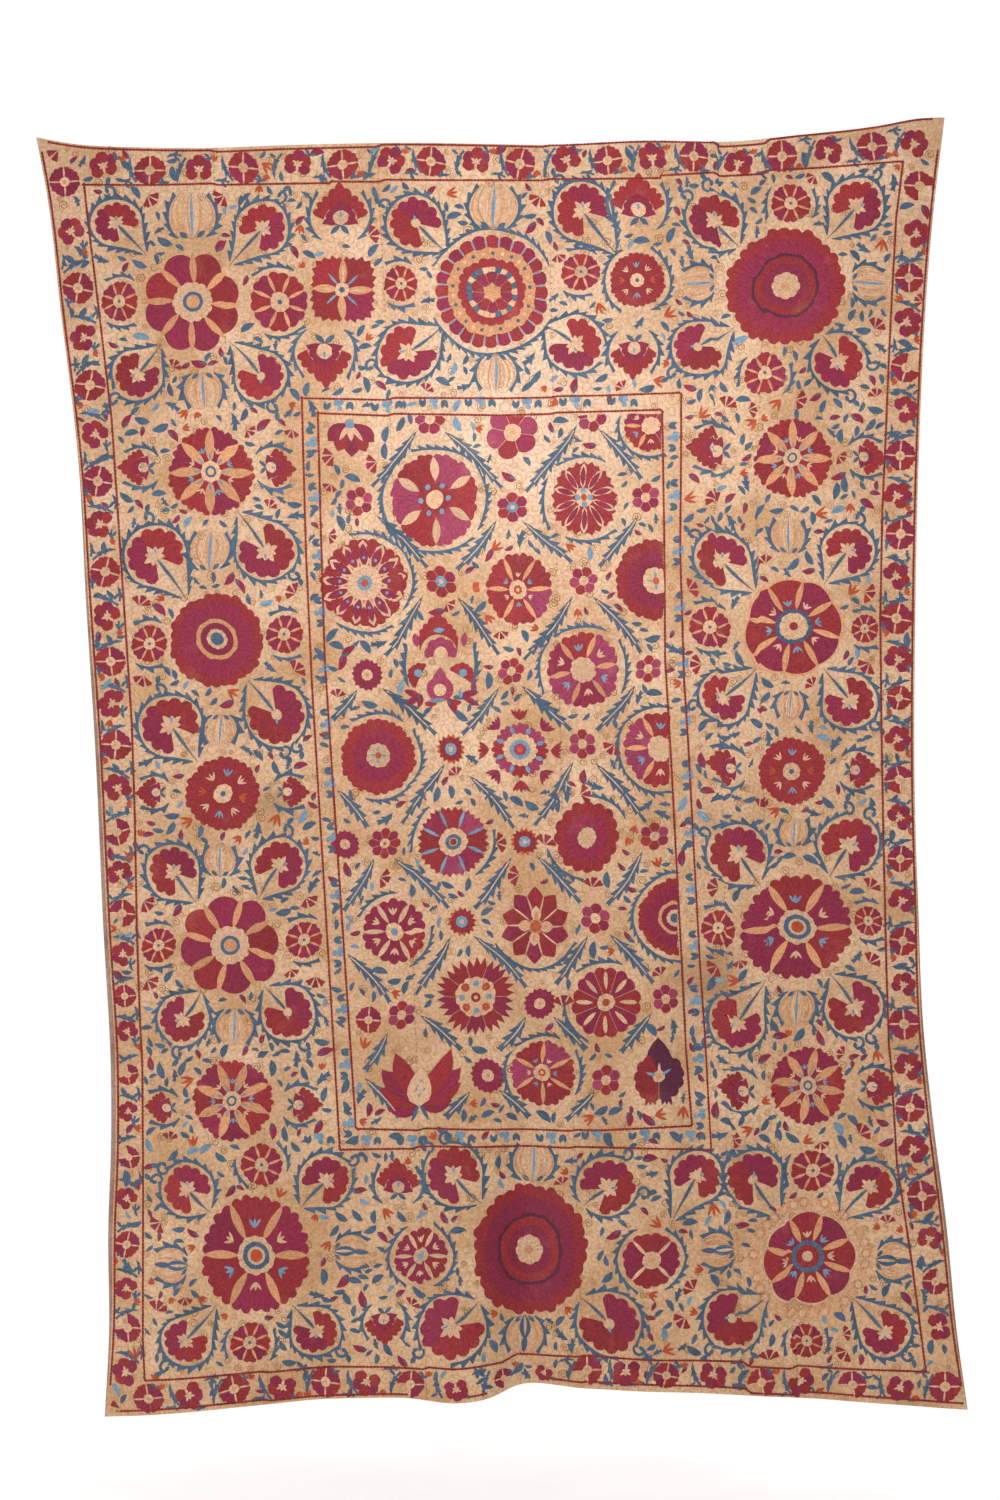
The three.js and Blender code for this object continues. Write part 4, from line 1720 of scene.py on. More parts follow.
CENTRE_FLOWERS = [
    Bloom(435, 501, 90, CREAM_LEAF_WHEEL, 62, (0.96, 1.04), (80, 160, 200, -80, 0)),
    Bloom(584, 501, 70, TOOTHED_WHEEL, 90, (0.95, 1.05), (95, 185, -80)),
    Bloom(364, 582, 86, DAISY_WHEEL, 90, (1.0, 1.02), (70, 0, -90)),
    Bloom(519, 590, 68, SIX_SPINDLES, 90, (0.97, 1.04)),
    Bloom(655, 582, 80, GREAT_DISC, cuts=((0, 16),)),
    Bloom(583, 672, 74, SPRIG_WHEEL, 100, (0.97, 1.04), (95, 175, 5)),
    Bloom(378, 755, 76, GREAT_DISC, hugged=(90, 0, -70)),
    Bloom(520, 751, 54, BLOCK_WHEEL),
    Bloom(660, 751, 74, SPRIG_WHEEL, hugged=(110, 180, -110), cuts=((0, 18),)),
    Bloom(453, 842, 70, TOOTHED_EIGHT, hugged=(160, -20)),
    Bloom(587, 839, 68, LOBED_DISC, 90, (0.96, 1.06), (60, -130)),
    Bloom(394, 930, 64, SIX_RAYS, hugged=(120, -30)),
    Bloom(535, 926, 76, SUNBURST, 90, (0.92, 1.0), (-120, -60)),
    Bloom(676, 919, 76, RINGED_MEDALLION, hugged=(120, 180, -120), cuts=((0, 4),)),
    Bloom(476, 997, 78, TOOTHED_RING),
    Bloom(606, 1004, 70, DROP_WHEEL, 90, (0.97, 1.03), (100, -150)),
    Bloom(543, 1074, 66, SIX_SPINDLES, 60, hugged=(100, 180, 0)),
    Bloom(512, 434, 54, SIX_PETALS, 80, cuts=((90, 34),)),
    Bloom(651, 428, 52, SPRIG_WHEEL, hugged=(200, -100), cuts=((90, 24), (0, 20))),
    Bloom(430, 420, 31, SIX_PETALS, 60, cuts=((90, 6),)),
    Bloom(592, 419, 31, SIX_PETALS, 100, cuts=((90, 4),)),
    Bloom(359, 499, 30, SIX_PETALS, 80), Bloom(512, 509, 31, SIX_PETALS_BLUE, 95),
    Bloom(646, 500, 30, SIX_PETALS), Bloom(441, 583, 32, SIX_PETALS_BLUE),
    Bloom(583, 583, 29, SIX_PETALS, 75), Bloom(368, 673, 31, TOOTHED_FLOWER),
    Bloom(510, 672, 27, SIX_PETALS, 70), Bloom(649, 671, 27, SIX_PETALS),
    Bloom(451, 750, 29, FRINGED_FLOWER), Bloom(582, 746, 29, SIX_PETALS),
    Bloom(346, 844, 29, TOOTHED_FLOWER), Bloom(385, 841, 32, EIGHT_PETALS),
    Bloom(525, 842, 29, FRINGED_FLOWER), Bloom(654, 838, 29, SIX_PETALS),
    Bloom(463, 923, 29, FRINGED_FLOWER), Bloom(595, 921, 30, SIX_PETALS, 80),
    Bloom(540, 1004, 31, TOOTHED_FLOWER), Bloom(665, 1000, 28, SIX_PETALS),
    Bloom(402, 1013, 28, SIX_PETALS), Bloom(369, 1018, 26, CROSS_FLOWER, 45),
    Bloom(487, 1076, 34, TOOTHED_FLOWER), Bloom(606, 1082, 30, SIX_PETALS),
]

# Saw-edged lattice stems of the centre field, from foot to tip, in pixels
LATTICE_STEMS = [
    (418, 432, 373, 484), (445, 432, 501, 488), (577, 426, 525, 493), (599, 432, 640, 480),
    (376, 514, 428, 569), (497, 522, 458, 569), (523, 523, 570, 565), (638, 519, 599, 567),
    (423, 598, 386, 654), (456, 598, 498, 655), (573, 599, 524, 661), (594, 599, 640, 654),
    (357, 687, 334, 718), (381, 687, 436, 735), (499, 687, 462, 735), (521, 687, 570, 732),
    (636, 686, 598, 732), (337, 787, 367, 825), (444, 764, 401, 821), (469, 775, 514, 827),
    (574, 764, 536, 825), (595, 764, 645, 823), (374, 856, 344, 908), (394, 857, 448, 909),
    (512, 857, 475, 908), (535, 857, 581, 905), (643, 853, 608, 906), (348, 952, 389, 1000),
    (451, 938, 416, 995), (474, 936, 526, 987), (587, 938, 555, 985), (608, 936, 653, 984),
    (420, 1017, 462, 1050), (526, 1016, 500, 1050), (553, 1018, 585, 1050), (389, 1030, 366, 1068),
    (650, 1014, 620, 1054), (366, 1076, 398, 1116), (498, 1090, 530, 1118), (594, 1094, 566, 1120),
    (470, 1092, 446, 1118),
]

# Chain-stitched guard lines, in pixels
OUTER_GUARD = [
    (85, 186), (200, 184), (330, 182), (330, 180.5), (549, 181), (660, 180.5), (660, 178),
    (780, 171), (902, 164), (895, 220), (892, 285), (888, 372), (886, 423), (882, 510), (880, 619),
    (881, 722), (883, 834), (886, 968), (888, 1046), (890, 1065), (896, 1164), (911, 1264),
    (925, 1372), (834, 1370), (737, 1363), (660, 1361), (585, 1357), (517, 1356), (502, 1363),
    (454, 1367), (380, 1365), (330, 1366), (145, 1380), (143, 1338), (143, 1189), (142, 1065),
    (140, 1024), (137, 923), (135, 812), (132, 722), (112, 420), (85, 186),
]
INNER_GUARD_OUT = [
    (302, 397), (400, 399), (500, 400), (600, 398), (681, 395), (681, 445), (680, 554), (684, 684),
    (688, 745), (694, 856), (700, 968), (705, 1040), (711, 1152), (600, 1149), (450, 1146),
    (340, 1148), (312, 684), (306, 553), (302, 397),
]
INNER_GUARD_IN = [
    (318, 412), (400, 415), (500, 417), (600, 414), (662, 412), (664, 532), (665, 662), (670, 745),
    (676, 856), (682, 968), (686, 1050), (692, 1128), (600, 1132), (450, 1129), (356, 1127),
    (325, 662), (321, 532), (318, 412),
]
GUARD_LINES = [np.array([spot(px, py) for px, py in line])
               for line in (OUTER_GUARD, INNER_GUARD_OUT, INNER_GUARD_IN)]

# Rows of hearts and darts between the inner guard lines: first and last pixel, and their number
DART_SIDES = [
    (339, 405, 622, 405, 7), (320, 1139, 690, 1138, 9), (310, 440, 348, 1120, 13),
    (672, 440, 700, 1116, 13),
]


@dataclass
class Sewing:
    """A part of the drawing, worked by the one needle."""

    needle: Needlework

    def fan(self, centre: Array, turn: float, radius: float = 17.0) -> None:
        """Works a small flower of three fans.

        Args:
            centre: Its middle.
            turn: The way its middle fan points, in radians.
            radius: Its radius.
        """
        foot = polar(centre, 0.5 * radius, turn + math.pi)
        for lobe in (-1, 0, 1):
            grid = wedge(foot, 0.15 * radius, 1.35 * radius, turn + lobe * 0.85 - 0.34, 0.68, 2)
            self.needle.lay(CRIMSON if lobe else MAGENTA, grid, 0.6)
        self.needle.lay(CREAM, leaf(foot, polar(foot, 0.8 * radius, turn + 0.42), 2.2), 0.9)
        self.needle.claim(centre, radius)


@dataclass
class OuterBorder(Sewing):
    """The narrow border along the edge: flowers turn and turn about, with sprigs between."""

    cross_radius: float = 30.5
    clove_radius: float = 30.0
    # Widest chance turn of a clove and of a cross flower, in degrees
    clove_swing: float = 35.0
    cross_swing: float = 14.0
    # Room that sprigs leave to the edge, and the most that they fill
    sprig_room: Pair = (6.0, 27.0)

    def clove(self, centre: Array, opening: float) -> None:
        """Works a clove, five lobes round a pale middle that opens to one side.

        Args:
            centre: Its middle.
            opening: Angle of the opening, in radians.
        """
        needle = self.needle
        radius = min(self.clove_radius, edge_room(centre) - EDGE_CLEAR)
        away = opening + math.pi
        dyes = [CRIMSON, MAGENTA] if needle.rng.random() < 0.5 else [MAGENTA, CRIMSON]
        for lobe in (-2, 2, -1, 1, 0):
            middle = polar(centre, (0.52 if lobe else 0.58) * radius, away + lobe * 1.02)
            wide = (0.46 if lobe % 2 else 0.43) * radius
            grid = wedge(middle, 0.0, wide, away, 2 * math.pi, 5, depth=0.09)
            needle.lay(dyes[lobe % 2], grid, 0.75 - 0.1 * abs(lobe), True)
        for ray in (-2, -1, 0, 1, 2):
            tip = polar(centre, (0.44 if ray % 2 else 0.30) * radius, away + ray * 0.95)
            needle.lay(CREAM, leaf(centre, tip, 0.17 * radius), 1.1)
        needle.lay(CREAM, leaf(centre, polar(centre, 0.5 * radius, opening), 0.2 * radius), 1.1)
        needle.claim(centre, radius + 1)

    def sprig(self, foot: Array, angle: float, length: float) -> None:
        """Works a bent sprig of three blue leaves.

        Args:
            foot: Where it starts.
            angle: The way it points, in radians.
            length: Its length.
        """
        tip = polar(foot, length, angle)
        self.needle.lay(BLUE, leaf(foot, tip, 9.5, 0.12, 0.8, 3))
        self.needle.spray(BLUE, (foot + tip) / 2, 0.5 * length, angle, (-0.75, 0.75), 6.0)

    def between(self, one: Array, two: Array, number: int) -> None:
        """Fills the space between two flowers.

        Args:
            one: Middle of the first flower.
            two: Middle of the next.
            number: The gap's number, which turns the filling about.
        """
        along, middle = bearing(one, two), (one + two) / 2
        back, hand = along + math.pi, 1 if number % 2 else -1
        across = along + hand * math.pi / 2
        other = across + math.pi
        clear, most = self.sprig_room
        room = min(edge_room(middle) - clear, most)
        foot = polar(polar(middle, room, other), 5, along)
        tip = polar(foot, 2 * room, across - hand * 0.34)
        self.needle.lay(BLUE, leaf(foot, tip, 13.0, 0.12 * hand, 0.9, 4))
        self.sprig(polar(polar(middle, room - 2, across), 15, back), along + hand * 0.1, 30)
        self.sprig(polar(polar(middle, room - 3, other), 9, back), back - hand * 0.1, 26)
        if number % 3 != 1:
            bud = polar(polar(middle, 15, other), 12, back)
            self.needle.spray(ORANGE, bud, 13, other, (-0.6, 0.0, 0.6), 5.6, 0.7)

    def build(self) -> None:
        """Works the border's four sides, then its two corner flowers and two corner fans."""
        sides = [(TOP_ROW, 0, -90.0), (LEFT_ROW, 0, -40.0), (RIGHT_ROW, 0, -140.0),
                 (BOTTOM_ROW, 1, 90.0)]
        for row, first, opening in sides:
            centres = [spot(px, py) for px, py in row]
            for number, centre in enumerate(centres):
                if number % 2 == first:
                    swing = self.needle.rng.uniform(-self.clove_swing, self.clove_swing)
                    self.clove(centre, math.radians(opening + swing))
                else:
                    turn = 90 + self.needle.rng.uniform(-self.cross_swing, self.cross_swing)
                    radius = min(self.cross_radius, edge_room(centre) - EDGE_CLEAR)
                    Bloom(*row[number], radius, CROSS_FLOWER, 45 + turn).work(self.needle)
            for number, (one, two) in enumerate(zip(centres, centres[1:])):
                self.between(one, two, number)
        for px, py in CORNER_FLOWERS:
            Bloom(px, py, self.cross_radius, CROSS_FLOWER, 45).work(self.needle)
        for px, py in CORNER_FANS:
            self.fan(spot(px, py), math.radians(200))


@dataclass
class MainBorder(Sewing):
    """The broad border of rosettes, with carnations, lotuses and tulips standing round them."""

    gap: float = 15.0
    thorn_spacing: float = 17.5
    curl_radius: float = 11.5
    # An arm nearer to the cloth's edge than this doesn't curl
    curl_room: float = 75.0
    # Angle that a carnation's arms cover, from least to most, and how much less one of them does
    arm_reach: Pair = (2.45, 2.75)
    arm_short: float = 0.55
    # A carnation: half its opening towards the stem in radians, pale rays, and share without long ones
    opening: float = 0.55
    rays: int = 7
    short_rayed: float = 0.2
    # Below this pixel, tulips have blue hearts
    blue_hearts: float = 1200.0
    # A tulip's stripes: bow and dye
    stripes: tuple[tuple[float, Dye], ...] = (
        (-0.36, SALMON), (-0.26, CREAM), (-0.16, SALMON), (-0.07, CREAM), (0.0, SKY), (0.07, SALMON),
        (0.16, CREAM), (0.26, SALMON), (0.36, SALMON))

    def nearest(self, centre: Array) -> Bloom:
        """The rosette that a flower belongs to."""
        return min(GREAT_ROSETTES, key=lambda rose: np.linalg.norm(rose.centre - centre) - rose.radius)

    def thorns(self, path: Array, width: float, thorn: float, side: int) -> None:
        """Works a thorny stem along a line, with its thorns to one side."""
        self.needle.lay(BLUE, briar(path, width, thorn, self.thorn_spacing, side))

    def arm(self, foot: Array, centre: Array, ring: float, hand: int, reach: float) -> None:
        """Works one thorny arm that leaves the foot, bends round a flower and curls over.

        Args:
            foot: Where the arm starts.
            centre: The flower's middle.
            ring: Radius of the arm's bend.
            hand: 1 to pass the flower on its left, -1 on its right.
            reach: Angle that the bend covers, in radians.
        """
        needle, curl_radius = self.needle, self.curl_radius
        distance = max(np.linalg.norm(foot - centre), ring * 1.02)
        start = bearing(centre, foot) - hand * math.acos(min(ring / distance, 0.98))
        end = start - hand * reach
        path = np.concatenate([[foot], arc_path(centre, ring, start, end)])
        tip = polar(centre, ring, end)
        pivot = polar(tip, curl_radius, end)
        free = needle.is_free(pivot, curl_radius - 2)
        for first, last in ((0.05, 0.46), (0.43, 1.0)):
            self.thorns(resample(path, np.linspace(first, last, 40)), 4.8, 11.5, hand)
        needle.claim_path(path)
        if not free or edge_room(pivot) < self.curl_room:
            return
        curl = arc_path(pivot, curl_radius, end + math.pi, end + math.pi + hand * 3.7)
        taper = np.linspace(2.2, 3.4, len(curl))
        needle.lay(BLUE, ribbon(curl, taper, taper), 0.55)
        needle.claim(pivot, curl_radius + 5)
        bud = curl[-1]
        needle.lay(BLUE, leaf(bud, polar(bud, 13, bearing(bud, pivot) - 0.5 * hand), 8.0, 0.1), 0.7)
        bud = polar(pivot, curl_radius, end)
        needle.lay(BLUE, leaf(bud, polar(bud, 18, end - hand * 0.5), 10.0, 0.15), 0.6)

    def carnation(self, px: float, py: float, radius: float) -> None:
        """Works a carnation on its stem, inside its thorny teardrop.

        Args:
            px: Pixel across.
            py: Pixel down.
            radius: Its radius in mm.
        """
        needle, centre = self.needle, spot(px, py)
        rose = self.nearest(centre)
        back = bearing(centre, rose.centre)
        space = np.linalg.norm(rose.centre - centre) - rose.radius * max(rose.stretch) - 6
        foot = polar(centre, np.clip(space, radius * 1.15, radius * 2.6), back)
        swapped = needle.rng.random() < 0.5
        start, sweep = back + self.opening, math.pi - self.opening
        for side, dye in enumerate((MAGENTA, CRIMSON) if swapped else (CRIMSON, MAGENTA)):
            grid = wedge(centre, 0.22 * radius, 1.15 * radius, start + side * sweep, sweep, 5,
                         depth=0.13, gap=0.0)
            needle.lay(dye, grid, 0.6)
        short_rayed = needle.rng.random() < self.short_rayed
        for ray in range(self.rays):
            angle = start + (ray + 0.5) * 2 * sweep / self.rays
            length = (0.22 if short_rayed else 0.52 if ray % 2 else 0.40) * radius
            needle.lay(CREAM, leaf(centre, polar(centre, length, angle), 0.22 * radius), 0.95)
        needle.disc(CREAM, centre, 0.20 * radius, 8, 1.1, SCALLOPED)
        needle.lay(BLUE, leaf(foot, polar(centre, 0.10 * radius, back), 6.4, 0.02, 2.0), 1.2)
        eye = polar(centre, 0.1 * radius, back + 1.9)
        needle.lay(SKY, leaf(eye, polar(centre, 0.36 * radius, back + 2.5), 5.0), 1.3)
        ring = radius + self.gap
        reach = needle.rng.uniform(*self.arm_reach)
        short = reach - self.arm_short
        self.arm(foot, centre, ring, 1, short if swapped else reach)
        self.arm(foot, centre, ring - 1.5, -1, reach if swapped else short)
        needle.claim(centre, ring + 3)

    def lotus(self, px: float, py: float, radius: float, facing: float) -> None:
        """Works a lotus bud: a cusped cap over a crescent and a pale heart.

        Args:
            px: Pixel across.
            py: Pixel down.
            radius: Its radius in mm.
            facing: The way it opens, in degrees.
        """
        needle, centre, turn = self.needle, spot(px, py), math.radians(facing)
        low = polar(centre, 0.15 * radius, turn + math.pi)
        cap = crescent(low, 1.12 * radius, 0.66 * radius, 0.12 * radius, turn, 2.9, 9, 0.34, 0.12)
        needle.lay(CRIMSON, cap, 0.6)
        heart = crescent(low, 0.60 * radius, 0.34 * radius, 0.04 * radius, turn, 3.3, 5, 0.1)
        needle.lay(MAGENTA, heart, 0.8)
        needle.disc(CREAM, low, 0.30 * radius, 7, 1.0, SCALLOPED)
        needle.lay(SKY, leaf(low, polar(low, 0.26 * radius, turn), 0.16 * radius), 1.2)
        base = polar(low, 0.30 * radius, turn + math.pi)
        for side in (-1, 1):
            tip = polar(base, 0.72 * radius, turn + side * 1.45)
            needle.lay(MAGENTA, leaf(base, tip, 0.36 * radius, -0.2 * side), 0.7)
            tip = polar(base, 0.5 * radius, turn + side * 2.3)
            needle.lay(BLUE, leaf(base, tip, 0.2 * radius), 0.7)
            path = arc_path(centre, 1.22 * radius, turn + side * 2.5, turn + side * 0.75)
            self.thorns(path, 5.5, 10.0, side)
            needle.claim_path(path)
        needle.claim(centre, radius + 4)

    def tulip(self, px: float, py: float, radius: float, facing: float) -> None:
        """Works a striped pale tulip between two thorny arcs.

        Args:
            px: Pixel across.
            py: Pixel down.
            radius: Half its length in mm.
            facing: The way it opens, in degrees.
        """
        needle, centre, turn = self.needle, spot(px, py), math.radians(facing)
        foot = polar(centre, 0.95 * radius, turn + math.pi)
        tip = polar(centre, 0.95 * radius, turn)
        needle.lay(CREAM, leaf(foot, tip, 0.62 * radius, 0.0, 0.95), 0.4)
        for bow, dye in self.stripes:
            end = tip + polar(np.zeros(2), 1.0, turn + math.pi / 2) * bow * radius * 1.3
            wide = 0.14 if dye is SKY else 0.09
            needle.lay(dye, leaf(foot, end, wide * radius, bow * 0.9), 0.6 if bow else 0.8)
        if py > self.blue_hearts:
            needle.lay(BLUE, leaf(foot, polar(centre, 0.3 * radius, turn), 0.58 * radius), 1.0)
            needle.lay(BLUE, leaf(centre, tip, 0.30 * radius), 1.1)
            needle.lay(CREAM, leaf(foot, polar(centre, 0.1 * radius, turn), 0.16 * radius), 1.4)
        for side in (-1, 1):
            bud = polar(foot, 0.18 * radius, turn + side * 1.2)
            tip = polar(bud, 0.42 * radius, turn + side * 0.9)
            needle.lay(BLUE, leaf(bud, tip, 0.2 * radius), 0.9)
            path = arc_path(centre, 1.02 * radius, turn + side * 2.6, turn + side * 0.65)
            self.thorns(path, 5.5, 11.0, side)
            needle.claim_path(path)
        needle.claim(centre, radius + 2)

    def build(self) -> None:
        """Works the rosettes and everything round them."""
        for rose in GREAT_ROSETTES:
            rose.work(self.needle)
        for px, py, radius in RING_FLOWERS:
            centre = spot(px, py)
            beside = math.degrees(bearing(centre, self.nearest(centre).centre)) + 90
            Bloom(px, py, radius, RING_FLOWER, hugged=(beside, beside + 180)).work(self.needle)
        for row in LOTUSES:
            self.lotus(*row)
        for row in TULIPS:
            self.tulip(*row)
        for row in CARNATIONS:
            self.carnation(*row)


@dataclass
class CentreField(Sewing):
    """The field: rows of flowers in a lattice of saw-edged stems, inside its dart border."""

    stem_width: float = 29.0
    stem_bend: float = 0.03
    tooth: float = 21.0
    # Ribs of the stems: first and last share of the length, points, half width, level and crown
    rib: tuple = (0.08, 0.86, 7, 1.2, 1.0, 0.1)
    # Middle pixels of the flowers that are one of a kind, and of a loose bud
    palmette_px: Pair = (440, 660)
    open_lotus_px: Pair = (420, 1082)
    cut_lotus_px: Pair = (351, 424)
    plum_lotus_px: Pair = (659, 1079)
    bud_px: Pair = (472, 588)

    def leaf_at(self, dye: Dye, foot: Pair, tip: Pair, width: float, level: float,
                *form: float) -> None:
        """Works a leaf from one pixel of the photograph to another, with its width and level in mm."""
        self.needle.lay(dye, leaf(spot(*foot), spot(*tip), width, *form), level)

    def stems(self) -> None:
        """Works the lattice stems, each with a cream rib."""
        first, last, count, half, level, crown = self.rib
        for x0, y0, x1, y1 in LATTICE_STEMS:
            foot, tip = spot(x0, y0), spot(x1, y1)
            teeth = max(round(float(np.linalg.norm(tip - foot)) / self.tooth), 3)
            self.needle.lay(BLUE, leaf(foot, tip, self.stem_width, self.stem_bend, 0.95, teeth))
            rib = bent_path(foot, tip, self.stem_bend, np.linspace(first, last, count))
            wide = np.full(count, half)
            self.needle.lay(CREAM, ribbon(rib, wide, wide), level, crown=crown)
            self.needle.claim_path(np.stack([foot, tip]), 11)

    def palmette(self) -> None:
        """Works the tall palmette at the field's left."""
        needle, up = self.needle, math.pi / 2
        px, py = self.palmette_px
        needle.lay(CRIMSON, crescent(spot(px - 2, py - 19), 42, 38, 25, up, 3.3, 9, 0.34), 0.6)
        self.leaf_at(SKY, (px - 7, py - 29), (px + 5, py - 30), 10, 1.1)
        needle.lay(ROSE, crescent(spot(px, py - 6), 34, 15, 0, up, 3.7, 5), 0.7)
        needle.disc(CREAM, spot(px, py - 8), 12, 6, 1.0, SCALLOPED)
        needle.disc(ROSE, spot(px + 1, py + 30), 27, 12, 0.6, inner=12)
        self.leaf_at(ROSE, (px + 1, py + 28), (px + 0.5, py + 7), 30, 0.7, 0.0, 0.6)
        needle.disc(CREAM, spot(px + 1, py + 31), 13, 8, 1.1)
        self.leaf_at(SKY, (px - 12, py + 42), (px + 6, py + 41), 9, 1.0)
        self.leaf_at(SKY, (px + 21, py + 40), (px + 21, py + 31), 9, 0.9)
        for side in (-1, 1):
            wing = spot(px + 1 + side * 20, py + 17)
            needle.lay(CRIMSON, wedge(wing, 0, 27, up - 1.3 + side * -0.85, 3.2, 7), 0.7)
            needle.disc(SKY, polar(wing, 8, up - side * 0.7), 8, 6, 1.1, SCALLOPED)
            foot = (px + 1 + side * 20, py + 37)
            for drop in (32, 46):
                self.leaf_at(MAGENTA, foot, (px + 1 + side * 38, py + drop), 13, 0.8)
            self.leaf_at(ROSE, (px + side * 24, py - 12), (px + side * 26, py - 26), 14, 0.8)
            palm = spot(px + side * 18, py + 1)
            needle.spray(CREAM, palm, 20, up - side * 0.75, (-0.8, -0.4, 0.0, 0.4, 0.8), 5.0, 0.8)
            fan = spot(px + 3 + side * 12, py + 41)
            needle.lay(CRIMSON, wedge(fan, 0, 14, -up - 1.3, 2.6, 3), 0.8)
            corners = [spot(px + side * out, py + drop) for out, drop in ((32, 28), (36, 8), (34, -15))]
            path = resample(np.array(corners), np.linspace(0, 1, 9))
            needle.lay(BLUE, briar(path, 6.5, 10.0, 17.0, -side))
        needle.claim(spot(px, py), 80)

    def open_lotus(self) -> None:
        """Works the great open lotus low at the left."""
        px, py = self.open_lotus_px
        foot = (px, py + 20)
        tips = ((-34, 25), (33, 19), (-40, 5), (41, 1), (-38, -14), (41, -14), (-25, -31), (32, -33))
        for number, (out, drop) in enumerate(tips):
            dye = MAGENTA if number % 4 < 2 else CRIMSON
            level, bow = 0.6 + 0.12 * number, 0.05 * (-1) ** number
            self.leaf_at(dye, foot, (px + out, py + drop), 42, level, bow, 0.95)
        self.leaf_at(CREAM, (px, py + 25), (px, py - 16), 50, 1.8, 0.0, 0.72)
        for out, drop in ((-4, 8), (4, 10), (0, 2), (-1, 16)):
            self.leaf_at(SKY, (px + out, py + drop), (px + out + 2, py + drop - 5), 4, 2.1)
        for side in (-1, 1):
            self.leaf_at(BLUE, foot, (px + side * 9, py + 38), 8, 0.9)
        self.needle.claim(spot(px, py), 84)

    def cut_lotus(self) -> None:
        """Works the hanging lotus under the top line."""
        px, py = self.cut_lotus_px
        needle, bud, down = self.needle, spot(px, py), -math.pi / 2
        for side in (-1.0, -0.5, 0.0, 0.5, 1.0):
            tip = polar(bud, 64 - 8 * abs(side), down + side * 0.95)
            dye = CRIMSON if side % 1 else MAGENTA
            needle.lay(dye, leaf(bud, tip, 34, 0.05 * side, 1.3), 0.6 + 0.1 * abs(side))
        needle.spray(CREAM, bud, 40, down, (-0.62, 0.62), 10, 1.1)
        needle.spray(CREAM, bud, 34, down, (0.0,), 13, 1.1)
        needle.disc(SKY, bud, 9, 6, 1.4)
        needle.claim(spot(px, py + 14), 60)

    def plum_lotus(self) -> None:
        """Works the plum-coloured lotus low at the right."""
        px, py = self.plum_lotus_px
        needle, middle = self.needle, spot(px, py)
        self.leaf_at(PLUM, (px, py), (px, py - 40), 52, 0.5, 0.0, 0.8)
        for dye, start, sweep, bumps in ((PLUM, -88, 196, 7), (CRIMSON, 108, 164, 6)):
            grid = wedge(middle, 3, 50, math.radians(start), math.radians(sweep), bumps, depth=0.09)
            needle.lay(dye, grid, 0.7)
        for out, dye in ((-8, CRIMSON), (8, PLUM)):
            for spread in (-5, 0, 5):
                self.leaf_at(dye, (px + out, py + 15), (px + out + spread, py + 28), 8, 0.8)
        needle.disc(CREAM, middle, 12, 7, 1.0, SCALLOPED)
        for angle, dye in ((90, CREAM), (30, SKY), (160, SKY)):
            needle.spray(dye, middle, 28, math.radians(angle), (0.0,), 6, 1.1)
        needle.disc(SALMON, middle, 6, 6, 1.3)
        needle.claim(spot(px, py - 3), 62)

    def darts(self) -> None:
        """Works the heart leaves and darts of the narrow border round the field."""
        for x0, y0, x1, y1, count in DART_SIDES:
            one, two = spot(x0, y0), spot(x1, y1)
            along = bearing(one, two)
            left, right = along + math.pi / 2, along - math.pi / 2
            for k in range(count):
                middle = one + (two - one) * k / (count - 1)
                self.needle.spray(SKY, middle, 15, left, (-0.58, 0.58), 12.5, 0.6)
                self.needle.spray(SKY, middle, 12, right, (0.5,), 10.5, 0.6)
                for hand in (-1, 1):
                    foot = polar(middle, 23, along + (0 if hand > 0 else math.pi))
                    foot = polar(foot, 8, along + hand * math.pi / 2)
                    for spread in (-0.36, 0.36):
                        tip = polar(foot, 18, along - hand * math.pi / 2 + spread)
                        self.needle.lay(BLUE, leaf(foot, tip, 9.0, 0.0, 0.8), 0.6)
                self.needle.claim(middle, 12)

    def build(self) -> None:
        """Works the field from its stems to its smallest flowers."""
        self.stems()
        for bloom in CENTRE_FLOWERS:
            bloom.work(self.needle)
        self.palmette()
        self.open_lotus()
        self.cut_lotus()
        self.plum_lotus()
        self.darts()
        bud = spot(*self.bud_px)
        self.needle.spray(ORANGE, bud, 17, 0.0, (-0.55, 0.55), 13, 0.6)
        self.needle.claim(bud, 16)


